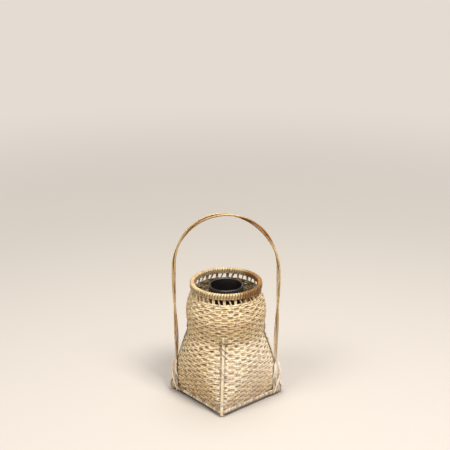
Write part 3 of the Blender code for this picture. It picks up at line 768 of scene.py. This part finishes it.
def rim_wind_place(number, u, v):
    """One endless strip, a turn to each number, wound round both hoops."""
    across, share, sideways, up, y, metres = wound_turn(u, v, RIM_STRIP, RIM_LOOP)
    radius = RIM_MIDDLE_RADIUS + sideways
    middle = (number + u) / RIM_WINDS
    points = ring_points(middle + across / (2 * np.pi * radius), radius, RIM_MIDDLE_HEIGHT + up)
    # Painted shade: on the right the turns darken by random amounts, most towards their edges.
    turn_gap_shade = np.clip(2 - np.abs(middle - RIM_SHADED_TURNS_AT) / RIM_SHADED_TURNS_REACH, 0, 1)
    turn_gap_shade = turn_gap_shade * turn_shades[number.astype(int)] * (0.25 + 1.5 * np.abs(share - 0.5))
    dark = np.maximum(np.interp(y, *np.transpose(RIM_SHADES)), turn_gap_shade)
    return points, (number + u) * metres, share, dark


rim_finish = bamboo_material("rim_bamboo", 0.3, 0.4, Pale=(232, 216, 178), Deep=(178, 144, 98),
                             Rosy=(214, 182, 140), Green=(208, 200, 152), Strip_contrast=0.6,
                             Fibre_contrast=0.4, Knot_spacing=0.21, Edge=0.7, Recess_depth=1.0)
laid_strips("rim_hoops_split", (2, 160, 12), rim_hoop_place, hoop_finish, "split_bamboo",
            "rim_hoop_outer", "rim_hoop_inner")
laid_strips("rim_wound", (RIM_WINDS, 44, 6), rim_wind_place, rim_finish, "wound_strip",
            "rim_binding")

# Ribs: a flat strip lies up each corner of the square foot. Its top is thinned and pushed in
# between the weavers.
CLEARANCE = 0.0003
FOOT_EDGE_PROUD = 0.0038
RIB_HALF_WIDTH = 0.0026
RIB_HALF_THICK = 0.0007
RIB_ROUNDNESS = 0.4
RIB_HEIGHT = 0.1340
FREE_OF_FOOT_EDGE = 0.0221
RIB_TUCK = 0.007
RIB_TUCK_DEPTH = 0.0026
RIB_KNOT_HEIGHT = 0.048
RIB_KNOT_STEP = 0.021
RIB_KNOT_REACH = 0.0011
RIB_SWAY = 0.0004
RIB_DARK_BELOW = (0.042, 0.034)


def pushed_out(height):
    """How far the foot edge pushes out what runs over it."""
    return FOOT_EDGE_PROUD * (1 - eased(ramp(height, UPRIGHT_HEIGHT, FREE_OF_FOOT_EDGE)))


def rib_place(number, u, v):
    """A flat strip up each corner, with painted shade where strands lie over it at the two side
    corners.
    """
    height = RIB_HEIGHT * u
    tucked = ramp(height, RIB_HEIGHT - RIB_TUCK, RIB_HEIGHT)
    knot_height = RIB_KNOT_HEIGHT + RIB_KNOT_STEP * number
    knot = np.exp(-((height - knot_height) / RIB_KNOT_REACH) ** 2)
    half_width = RIB_HALF_WIDTH * (1 + 0.06 * np.sin(70 * height + 2 * number)) * (1 - 0.5 * tucked)
    half_thick = RIB_HALF_THICK * (1 + 0.5 * knot)
    across, outwards, share = strip_section(v, half_width, half_thick, RIB_ROUNDNESS)
    offset = CLEARANCE + RIB_HALF_THICK + pushed_out(height) - RIB_TUCK_DEPTH * tucked ** 2 + outwards
    points = wall(number / 4, height, offset)
    angle = number * np.pi / 2
    sway = across + RIB_SWAY * np.sin(31 * height + 1.7 * number)
    points[:, 0] -= sway * np.sin(angle)
    points[:, 1] += sway * np.cos(angle)
    return points, height, share, np.where(number % 2 == 0, 0.8, 0.0) * ramp(height, *RIB_DARK_BELOW)


rib_finish = bamboo_material("rib_bamboo", 0.1, 0.5, Pale=(242, 230, 198), Deep=(190, 158, 108),
                             Rosy=(236, 220, 188), Green=(226, 210, 168), Strip_contrast=0.3,
                             Fibre_contrast=0.8, Bundle_contrast=1.0, Knot_spacing=0.3,
                             Knot_depth=0.7, Edge=0.9, Recess_depth=0.9)
laid_strips("corner_ribs_split", (4, 90, 12), rib_place, rib_finish, "split_bamboo",
            "corner_rib_right", "corner_rib_back", "corner_rib_left", "corner_rib_front")

# Rib ties: thin strips that cross over a rib and go into the weave on either side of it. The
# upper ties are crossed pairs, and single slanting stitches hold the rib below them. Each
# stitch has a height, a slant, a half width and a darkness of painted shade.
TIE_HALF_THICK = 0.0003
TIE_REACH = 0.0086
TIE_ROUTE = (0.0, 0.0027, 0.0040, 0.0064, TIE_REACH)
OVER_RIB = CLEARANCE + 2 * RIB_HALF_THICK + TIE_HALF_THICK + 0.0002
TIE_OFFSETS = (OVER_RIB, OVER_RIB, 0.0009, 0.0004, -0.0018)
UPPER_STITCHES = ((0.1225, 0.50, 0.0010, 0.3), (0.1215, -0.50, 0.0010, 0.9),
                  (0.1110, -0.90, 0.0007, 1.0), (0.1020, -1.00, 0.0007, 0.9))
LOWER_STITCHES = ((0.0720, -1.20, 0.0007, 1.0), (0.0640, -0.40, 0.0010, 0.5),
                  (0.0205, -0.25, 0.0012, 0.3), (0.0168, 0.20, 0.0011, 0.8))
stitches = np.array([(corner, *stitch) for corner in range(4)
                     for stitch in UPPER_STITCHES + (LOWER_STITCHES if corner % 2 else ())])


def tie_place(number, u, v):
    """Stitches over the ribs; all four corners have the upper ones, front and back the lower."""
    corner, height, slant, half_width, dark = stitches[number.astype(int)].T
    across, outwards, share = strip_section(v, half_width, TIE_HALF_THICK)
    along = (2 * u - 1) * TIE_REACH
    steepness = np.sqrt(1 + slant ** 2)
    height = height + slant * along + across / steepness
    sideways = along - slant * across / steepness
    offset = np.interp(np.abs(along), TIE_ROUTE, TIE_OFFSETS) + outwards + pushed_out(height)
    points = wall(corner / 4 + sideways / around(height), height, offset)
    # Painted shade: darker towards the ends, where a tie goes into the weave, and by its darkness.
    dark = np.maximum(0.7 * np.abs(along) / TIE_REACH, 0.8 * dark)
    return points, u * 2 * TIE_REACH, share, dark


tie_finish = bamboo_material("tie_bamboo", 0.1, 0.4, Pale=(250, 240, 218), Deep=(196, 160, 118),
                             Strip_contrast=0.8, Edge=1.0, Recess_depth=1.0)
laid_strips("rib_ties_crossed", (len(stitches), 28, 8), tie_place, tie_finish, "wound_strip",
            "rib_tie_right_upper", "rib_tie_back_upper", "rib_tie_back_lower",
            "rib_tie_left_upper", "rib_tie_front_upper", "rib_tie_front_lower")

# Handle: two canes, each in one piece from foot to foot, bent over steam and loosely twisted
# together. Above the ties they leave the wall, and below them they part to the foot edge.
RIM_TOP = 0.2134
CANE_RADIUS = 0.0018
PAIR_HALF = 0.00195
CANE_ON_RIB = 0.0040
HANDLE_SET_IN = 0.0025
SPRING_ABOVE_RIM = 0.0210
ARCH_RISE = 0.1000
LEAVING_PULL = (-0.0050, 0, 0.0240)
SPRING_PULL = (0.0020, 0, -0.0600)
HANDLE_TWISTS = 3
LEG_SPREADS = (0.0220, 0.0090)
LEG_END_HEIGHT = 0.0025
BOUND_FROM = 0.0323
BOUND_TO = 0.0569
CANE_STEPS = 420
CANE_KNOTS = (0.07, 0.19, 0.32, 0.46, 0.61, 0.77, 0.90)
CANE_KNOT_SHIFT = 0.03
CANE_KNOT_REACH = 0.0015
CANE_PATTERN_LENGTH = 0.82
CANE_THINNED_UP_TO = 0.03
CANE_DARK_FACING = (0.4, 0.85)
CANE_DARK_APART = (0.0065, 0.0045)


def length(vectors):
    """Length of each vector."""
    return np.linalg.norm(vectors, axis=1)


def unit(vectors):
    """Vectors of the same directions, each one long."""
    return vectors / length(vectors)[:, None]


def evened(points, count):
    """The same line with a number of points an equal distance apart."""
    lengths = np.concatenate([[0.0], np.cumsum(length(np.diff(points, axis=0)))])
    places = np.linspace(0, lengths[-1], count)
    return np.stack([np.interp(places, lengths, points[:, k]) for k in range(3)], axis=1)


def bezier(first, second, third, fourth, count):
    """Points along a curve from the first place to the fourth."""
    t = np.linspace(0, 1, count)[:, None]
    return ((1 - t) ** 3 * first + 3 * t * (1 - t) ** 2 * second + 3 * t ** 2 * (1 - t) * third
            + t ** 3 * fourth)


def beside_right_corner(height, along, offset):
    """Points near the +X corner at signed distances from it."""
    height = np.asarray(height, dtype=float)
    return wall(np.asarray(along) / around(height, offset), height, offset)


def handle_middle():
    """Line between the canes from the right tie over the arch to the left tie."""
    leave = beside_right_corner([BOUND_TO], [0.0], CANE_ON_RIB)[0]
    spread = beside_right_corner([0.0], [0.0], -HANDLE_SET_IN)[0][0]
    spring = np.array([spread, 0.0, RIM_TOP + SPRING_ABOVE_RIM])
    rising = bezier(leave, leave + LEAVING_PULL, spring + SPRING_PULL, spring, 60)
    angle = np.linspace(0, np.pi, 81)[1:-1]
    arch = np.stack([spring[0] * np.cos(angle), 0 * angle,
                     spring[2] + ARCH_RISE * np.sin(angle)], axis=1)
    return evened(np.concatenate([rising, arch, rising[::-1] * [-1, 1, 1]]), 300)


def cane_line(side, spread):
    """Middle line of one cane; side is -1 for the cane that starts at the front."""
    middle = handle_middle()
    run = unit(np.gradient(middle, axis=0))
    outwards = np.stack([run[:, 2], 0 * run[:, 0], -run[:, 0]], axis=1)
    turn = 2 * np.pi * HANDLE_TWISTS * np.linspace(0, 1, len(middle))[:, None]
    twisted = middle + side * PAIR_HALF * (np.cos(turn) * [0, 1, 0] + np.sin(turn) * outwards)
    down = np.linspace(1, 0, 31)
    height = BOUND_FROM + (LEG_END_HEIGHT - BOUND_FROM) * down
    along = PAIR_HALF + (spread - PAIR_HALF) * np.sin(np.pi / 2 * down)
    offset = 2 * CLEARANCE + CANE_RADIUS + (CANE_ON_RIB - CLEARANCE - CANE_RADIUS) * (1 - down)
    leg = beside_right_corner(height, side * along, offset + pushed_out(height))
    height = np.linspace(BOUND_FROM, BOUND_TO, 20)[1:-1]
    bound = beside_right_corner(height, np.full_like(height, side * PAIR_HALF), CANE_ON_RIB)
    right = np.concatenate([leg, bound])
    return evened(np.concatenate([right, twisted, right[::-1] * [-1, 1, 1]]), CANE_STEPS + 1)


def guide(line, near):
    """A line's points, and two directions across it, the first of them near a given one."""
    run = unit(np.gradient(line, axis=0))
    across = unit(near - run * np.sum(run * near, axis=1)[:, None])
    return np.stack([line, across, np.cross(run, across)])


def round_points(guided, radius, angle):
    """Points of a round section at guided places."""
    middle, first, second = guided
    return (middle + (radius * np.cos(angle))[:, None] * first
            + (radius * np.sin(angle))[:, None] * second)


canes = np.stack([guide(cane_line(side, spread), np.array([0.0, 1.0, 0.0]))
                  for side, spread in zip((-1, 1), LEG_SPREADS)], axis=1)


def cane_place(number, u, v):
    """Both canes: round, with a raised ring at each knot, and thinned at the feet.

    A cane has painted shade where it faces the other one and lies close to it."""
    knots = sum(np.exp(-((u - knot - CANE_KNOT_SHIFT * number) * CANE_PATTERN_LENGTH
                         / CANE_KNOT_REACH) ** 2) for knot in CANE_KNOTS)
    thinned = ramp(np.minimum(u, 1 - u), 0.0, CANE_THINNED_UP_TO)
    radius = CANE_RADIUS * (0.94 + 0.14 * knots) * (0.62 + 0.38 * thinned)
    radius = radius * (1 + 0.04 * np.sin(4 * np.pi * v + 40 * u))
    cane = number.astype(int)
    step = np.rint(u * CANE_STEPS).astype(int)
    points = round_points(canes[:, cane, step], radius, 2 * np.pi * v + 6 * u)
    middle, other = canes[0, cane, step], canes[0, 1 - cane, step]
    apart = length(other - middle)
    facing = ((points - middle) * (other - middle)).sum(axis=1) / (radius * apart)
    dark = ramp(facing, *CANE_DARK_FACING) * ramp(apart, *CANE_DARK_APART)
    return points, u * CANE_PATTERN_LENGTH, (1 + np.cos(2 * np.pi * v)) / 2, dark


cane_finish = bamboo_material("cane_bamboo", 0.2, 0.6, pale_foot=0.8, Pale=(242, 218, 172),
                              Deep=(166, 124, 76), Rosy=(218, 178, 132), Green=(212, 192, 134),
                              Strip_contrast=0.6, Fibre_contrast=1.3, Bundle_contrast=1.0,
                              Knot_spacing=0.12, Edge=0.8, Groove=0.5, Recess_depth=0.95)
laid_strips("handle_canes_bent", (2, CANE_STEPS, 12), cane_place, cane_finish, "handle_cane",
            "handle_cane_front", "handle_cane_back")

# Handle ties: a pale twisted cord of split fibre, wound eight times round canes, rib and wall
# at each foot of the handle.
CORD_RADIUS = 0.0010
CORD_PITCH = 0.0024
CORD_LOOPS = 8
CORD_YARNS = 3
CORD_TWISTS = 11 * CORD_LOOPS
CORD_START_HEIGHT = 0.0350
CORD_BEND = 0.0020
CORD_INSIDE_ROOM = 0.0017
CORD_PATTERN_LENGTH = 0.3
WALL_THICK = 0.0026
CORD_STEPS = 36 * CORD_LOOPS


def cord_line():
    """Loops of cord at the right corner, starting and ending inside the basket."""
    turn = np.linspace(0, CORD_LOOPS, CORD_STEPS + 1)
    height = CORD_START_HEIGHT + CORD_PITCH * turn
    reach = beside_right_corner(height, 0 * height, 0.0)[:, 0]
    outside = reach + CANE_ON_RIB + CANE_RADIUS + CLEARANCE + CORD_RADIUS
    inside_wall = reach - WALL_THICK - CORD_INSIDE_ROOM - CLEARANCE - CORD_RADIUS
    half_y = PAIR_HALF + CANE_RADIUS + CLEARANCE + CORD_RADIUS
    x, y, _, _, _ = rounded_loop(turn + 0.5, (outside - inside_wall) / 2, half_y, CORD_BEND)
    return np.stack([(outside + inside_wall) / 2 + x, y, BODY_FOOT + height], axis=1)


right_cord = guide(cord_line(), np.array([0.0, 0.0, 1.0]))


def cord_place(number, u, v):
    """Cord 0 is at the right corner, and cord 1 is the same turned to the left corner."""
    angle = 2 * np.pi * v
    yarns = np.cos(CORD_YARNS * angle - 2 * np.pi * CORD_TWISTS * u)
    radius = CORD_RADIUS * (0.86 + 0.14 * yarns)
    points = round_points(right_cord[:, np.rint(u * CORD_STEPS).astype(int)], radius, angle)
    points[:, :2] *= np.where(number < 0.5, 1, -1)[:, None]
    return points, u * CORD_PATTERN_LENGTH, (1 + yarns) / 2, 0.0


cord_finish = bamboo_material("tie_cord", 0.1, 0.5, Pale=(248, 238, 222), Deep=(214, 188, 154),
                              Rosy=(240, 220, 204), Green=(238, 224, 198), Strip_contrast=0.2,
                              Fibre_contrast=0.6, Knot_spacing=3.0, Knot_depth=0.0, Edge=0.4)
laid_strips("handle_ties_twisted", (2, CORD_STEPS, 12), cord_place, cord_finish, "wound_strip",
            "handle_tie_right", "handle_tie_left")

# Tufts and strands: below each tie the end of its cord is combed out over the wall in a pale
# tuft, and flat split strands run on from it to the foot edge, fanned out. Each strand has a
# distance from the corner above and below, a curve, a top height, a half width and a flare.
TUFT_FIBRES = 20
TUFT_CURVE = 0.55
TUFT_ABOVE = (0.0055, 0.0115)
TUFT_BELOW = (0.0050, 0.0250)
TUFT_TOPS = (0.0590, 0.0560)
TUFT_ENDS = (0.0300, 0.0330)
TUFT_BULGES = (0.0030, 0.0014)
TUFT_UNEVEN_TOP = 0.001
TUFT_UNEVEN_END = 0.002
TUFT_UNEVEN_BULGE = 0.0006
TUFT_HALF_WIDTHS = (0.0006, 0.0010)
STRANDS = ((0.0004, -0.0024, 1.0, 0.0440, 0.0012, 0.0060),
           (0.0036, 0.0026, 1.0, 0.0430, 0.0010, 0.0030),
           (0.0062, 0.0078, 1.2, 0.0410, 0.0006, 0.0012),
           (0.0100, 0.0100, 1.6, 0.0370, 0.0010, 0.0),
           (0.0120, 0.0170, 1.8, 0.0350, 0.0008, 0.0),
           (0.0150, 0.0260, 2.0, 0.0330, 0.0008, 0.0),
           (0.0190, 0.0210, 0.8, 0.0330, 0.0006, 0.0))
STRAND_FOOT = 0.0015
STRAND_BULGE = 0.0012
FRAY_HALF_THICK = 0.00028
FRAY_CLEARANCE = 0.0004
FRAY_LOWEST = 0.0006
FRAY_PATTERN_LENGTH = 0.025


def fray_table():
    """Corner, side, distances above and below, curve, heights, bulge, half width and flare.

    A tuft's values run from those of its fibre nearest the corner to those of its furthest."""
    chance = np.random.default_rng(7)
    rows = []
    for corner, side in ((0, -1), (2, 1), (0, 1), (2, -1)):
        for fibre in range(TUFT_FIBRES):
            lie = (fibre + chance.uniform(-0.4, 0.4)) / TUFT_FIBRES
            above, below, top, low, bulge = [
                first + (last - first) * lie
                for first, last in (TUFT_ABOVE, TUFT_BELOW, TUFT_TOPS, TUFT_ENDS, TUFT_BULGES)]
            top += chance.uniform(-TUFT_UNEVEN_TOP, TUFT_UNEVEN_TOP)
            low += chance.uniform(-TUFT_UNEVEN_END, TUFT_UNEVEN_END)
            bulge += chance.uniform(0, TUFT_UNEVEN_BULGE)
            rows.append((corner, side, above, below, TUFT_CURVE, top, low, bulge,
                         chance.uniform(*TUFT_HALF_WIDTHS), 0.0))
        for above, below, curve, top, half_width, flare in STRANDS:
            rows.append((corner, side, above, below, curve, top, STRAND_FOOT, STRAND_BULGE,
                         half_width, flare))
    return np.array(rows)


frays = fray_table()


def fray_place(number, u, v):
    """Fibres of the tufts and strands below them, all from the top down."""
    (corner, side, above, below, curve, top, low, bulge, half_width,
     flare) = frays[number.astype(int)].T
    taper = 0.35 + 0.65 * np.sin(np.pi * (0.12 + 0.8 * u))
    across, outwards, share = strip_section(v, half_width * taper, FRAY_HALF_THICK)
    height = top + (low - top) * u
    along = above + (below - above) * u ** curve
    slope = (below - above) * curve * np.maximum(u, 0.02) ** (curve - 1) / (low - top)
    steepness = np.sqrt(1 + slope ** 2)
    offset = CLEARANCE + FRAY_CLEARANCE + bulge * np.sin(np.pi * (0.3 + 0.68 * u)) + outwards
    offset = offset + pushed_out(height) + flare * u ** 2
    along = side * (along + across / steepness)
    height = np.maximum(height - slope * across / steepness, FRAY_LOWEST)
    points = wall(corner / 4 + along / around(height), height, offset)
    return points, u * FRAY_PATTERN_LENGTH, share, 0.0


tuft_finish = bamboo_material("tie_tuft", 0.0, 0.5, Pale=(252, 246, 236), Deep=(206, 186, 160),
                              Rosy=(244, 230, 218), Green=(240, 232, 210), Strip_contrast=0.9,
                              Fibre_contrast=0.6, Knot_spacing=3.0, Knot_depth=0.0, Edge=0.7)
laid_strips("handle_tie_tufts", (len(frays), 20, 6), fray_place, tuft_finish, "wound_strip",
            "handle_tie_right", "handle_tie_left")

# Lashings: brown strips wound round the foot edge on both sides of the two side corners, which
# hold the strands down. They lie at uneven steps and slants.
LASHINGS = 7
LASHING_START = 0.0035
LASHING_STEP = 0.0042
LASHING_SLANT = 0.4
LASHING_STRIP = (0.0013, 0.0004)
LASHING_LOOP = (0.0022, 0.0040, 0.0014)


def lashing_place(number, u, v):
    """Loops round the foot edge, in groups of seven."""
    group = number // LASHINGS
    loop = number % LASHINGS
    across, share, sideways, up, y, metres = wound_turn(u, v, LASHING_STRIP, LASHING_LOOP)
    height = HOOP_MIDDLE + up
    along = LASHING_START + LASHING_STEP * (loop + 0.3 * np.sin(9 * loop))
    along = np.where(group % 2 == 0, -1, 1) * along + across + LASHING_SLANT * np.sin(7 * loop) * y
    share_round = np.where(group < 2, 0.0, 0.5) + along / around(height)
    points = wall(share_round, height, HOOP_OFFSET + sideways)
    # Painted shade darkens each loop, most towards its bottom.
    return points, (number + u) * metres, share, np.clip(0.75 - 260 * y, 0, 1)


lashing_finish = bamboo_material("lashing_bamboo", 0.4, 0.4, Pale=(222, 190, 146), Deep=(120, 82, 48),
                                 Rosy=(190, 146, 108), Green=(196, 176, 122), Strip_contrast=1.4,
                                 Fibre_contrast=0.5, Knot_spacing=0.21, Edge=0.9, Recess_depth=0.9)
laid_strips("foot_corner_lashings", (4 * LASHINGS, 24, 6), lashing_place, lashing_finish,
            "wound_strip", "foot_binding")

# Water tube: a length of bamboo turned thin, lacquered black inside and out, with a rounded lip
# and two low rings where its knots were. It stands loose on the mat.
TUBE_RADIUS = 0.0299
TUBE_WALL = 0.0030
TUBE_FLOOR = 0.0060
TUBE_FOOT = 0.0081
TUBE_TOP = 0.2064
TUBE_FOOT_CHAMFER = 0.0008
TUBE_FLOOR_CHAMFER = 0.0010
TUBE_RINGS = (0.070, 0.142)
TUBE_STEPS = 96
RING_PROFILE = ((0.0001, -0.0020), (0.0005, -0.0008), (0.0, 0.0), (0.0005, 0.0008), (0.0001, 0.0020))
LIP_PROFILE = ((0.0, 0.0016), (0.0004, 0.0005), (0.0015, 0.0), (TUBE_WALL - 0.0004, 0.0005),
               (TUBE_WALL, 0.0016))


def tube_mesh():
    """Outline of the tube, up its outside and down its inside, spun round its axis."""
    outline = [(0.0, TUBE_FOOT), (TUBE_RADIUS - TUBE_FOOT_CHAMFER, TUBE_FOOT),
               (TUBE_RADIUS, TUBE_FOOT + TUBE_FOOT_CHAMFER)]
    outline += [(TUBE_RADIUS - cut, ring + up) for ring in TUBE_RINGS for cut, up in RING_PROFILE]
    outline += [(TUBE_RADIUS - inwards, TUBE_TOP - down) for inwards, down in LIP_PROFILE]
    bore = TUBE_RADIUS - TUBE_WALL
    floor = TUBE_FOOT + TUBE_FLOOR
    outline += [(bore, floor + TUBE_FLOOR_CHAMFER), (bore - TUBE_FLOOR_CHAMFER, floor), (0.0, floor)]
    bm = bmesh.new()
    line = [bm.verts.new((radius, 0.0, z)) for radius, z in outline]
    for before, after in zip(line, line[1:]):
        bm.edges.new((before, after))
    bmesh.ops.spin(bm, geom=bm.verts[:] + bm.edges[:], cent=(0, 0, 0), axis=(0, 0, 1),
                   angle=2 * math.pi, steps=TUBE_STEPS, use_merge=True)
    bmesh.ops.remove_doubles(bm, verts=bm.verts, dist=MERGED_WITHIN)
    bmesh.ops.recalc_face_normals(bm, faces=bm.faces)
    mesh = bpy.data.meshes.new("water_tube_lacquered")
    bm.to_mesh(mesh)
    bm.free()
    return mesh


def lacquer_material():
    """Black lacquer, brown where it is thin, with faint lathe lines and dull patches rubbed by hands.
    """
    material, tree, shader = new_material("black_lacquer")
    place = node(tree, "TexCoord").outputs["Object"]
    patches = noise(place, 38.0, 4.0)
    stretched = joined("Mapping", {"Vector": place, "Scale": (40.0, 40.0, 900.0)})[0]
    lathe_lines = noise(stretched, 1.0, 2.0)
    colour = blended(stepped(patches, 0.45, 0.8), srgb(20, 17, 15), srgb(44, 30, 22))
    relief = {"Height": lathe_lines, "Strength": 0.12, "Distance": RELIEF_DEPTH}
    feed(shader, {"Base Color": colour, "Roughness": added(0.16, patches, 0.3),
                  "Normal": joined("Bump", relief)["Normal"], "Coat Weight": 0.3,
                  "Coat Roughness": 0.15})
    return material


finished("water_tube_lacquered", tube_mesh(), lacquer_material(), "black_lacquer", "water_tube",
         body="tube", angle=40)

# Floor: a plain pale board under the basket, without a pattern of its own, and a backdrop of
# one pale colour behind it.
BACKDROP = srgb(228, 220, 210)
FLOOR_HALF = 14.0
FLOOR_FADES = (0.35, 2.2)


def seen_directly(tree):
    """1 for the rays that show the background itself: camera, glossy and transmission rays."""
    rays = node(tree, "LightPath").outputs
    seen = maths("MAXIMUM", rays["Is Camera Ray"], rays["Is Glossy Ray"])
    return maths("MAXIMUM", seen, rays["Is Transmission Ray"])


def floor_material():
    """Pale board that fades with distance into the colour of the backdrop."""
    material, tree, shader = new_material("pale_floor")
    seen = seen_directly(tree)
    pale = blended(seen, srgb(196, 178, 154), srgb(196, 187, 176))
    feed(shader, {"Base Color": pale, "Roughness": 0.75, "Specular IOR Level": 0.2})
    place = node(tree, "TexCoord").outputs["Object"]
    distance = joined("VectorMath", {0: place}, operation="LENGTH")["Value"]
    far = times(stepped(distance, *FLOOR_FADES), seen)
    glow = node(tree, "Emission", {"Color": BACKDROP, "Strength": 1.0}).outputs[0]
    both = joined("MixShader", {0: far, 1: shader.outputs[0], 2: glow})[0]
    feed(tree.nodes["Material Output"], {"Surface": both})
    return material


bm = bmesh.new()
bmesh.ops.create_grid(bm, x_segments=1, y_segments=1, size=FLOOR_HALF)
floor_mesh = bpy.data.meshes.new("floor")
bm.to_mesh(floor_mesh)
bm.free()
floor_mesh.materials.append(floor_material())
placed("floor", floor_mesh)

# Studio light: a large soft lamp from the right and above, a weaker one from the left, one from
# above and behind, and an even pale surround.
LAMPS_LOOK_AT = Vector((0, 0, 0.13))
SURROUND_COLOUR = (0.93, 0.95, 1.0, 1.0)
SURROUND_STRENGTH = 0.34


def lamp(name, place, power, size):
    """Square area lamp that looks at the middle of the basket."""
    light = bpy.data.lights.new(name, "AREA")
    light.energy = power
    light.size = size
    carried = placed(name, light)
    carried.location = place
    carried.rotation_euler = (LAMPS_LOOK_AT - Vector(place)).to_track_quat("-Z", "Y").to_euler()


lamp("key", (0.85, -0.85, 2.1), 50, 0.7)
lamp("fill", (-1.2, -1.1, 2.0), 31, 1.0)
lamp("top", (0.1, 0.5, 2.1), 18, 1.0)
surround = bpy.data.worlds.new("surround")
surround.use_nodes = True
tree = surround.node_tree
direction = node(tree, "TexCoord").outputs["Generated"]
upwards = joined("SeparateXYZ", {0: direction})[2]
soft = tree.nodes["Background"]
feed(soft, {0: SURROUND_COLOUR, 1: times(stepped(upwards, 0.05, 0.6), SURROUND_STRENGTH)})
backdrop = node(tree, "Background", {0: BACKDROP, 1: 1.0}).outputs[0]
both = joined("MixShader", {0: seen_directly(tree), 1: soft.outputs[0], 2: backdrop})[0]
feed(tree.nodes["World Output"], {"Surface": both})
bpy.context.scene.world = surround
bpy.context.scene.view_settings.view_transform = "Standard"

# Camera: two metres away, as the three visible corners of the foot give it.
CAMERA_DISTANCE = 2.0
CAMERA_ELEVATION = math.radians(28.7)
CAMERA_PITCH = math.radians(20.18)
CAMERA_TURN = math.radians(4.2)
CAMERA_SIDEWAYS = -0.0018
camera_data = bpy.data.cameras.new("camera")
camera_data.sensor_width = 36.0
camera_data.lens = 88.15
camera = placed("camera", camera_data)
camera.location = Matrix.Rotation(CAMERA_TURN, 3, "Z") @ Vector(
    (CAMERA_SIDEWAYS, -CAMERA_DISTANCE * math.cos(CAMERA_ELEVATION),
     CAMERA_DISTANCE * math.sin(CAMERA_ELEVATION)))
camera.rotation_euler = (math.pi / 2 - CAMERA_PITCH, 0.0, CAMERA_TURN)
bpy.context.scene.camera = camera
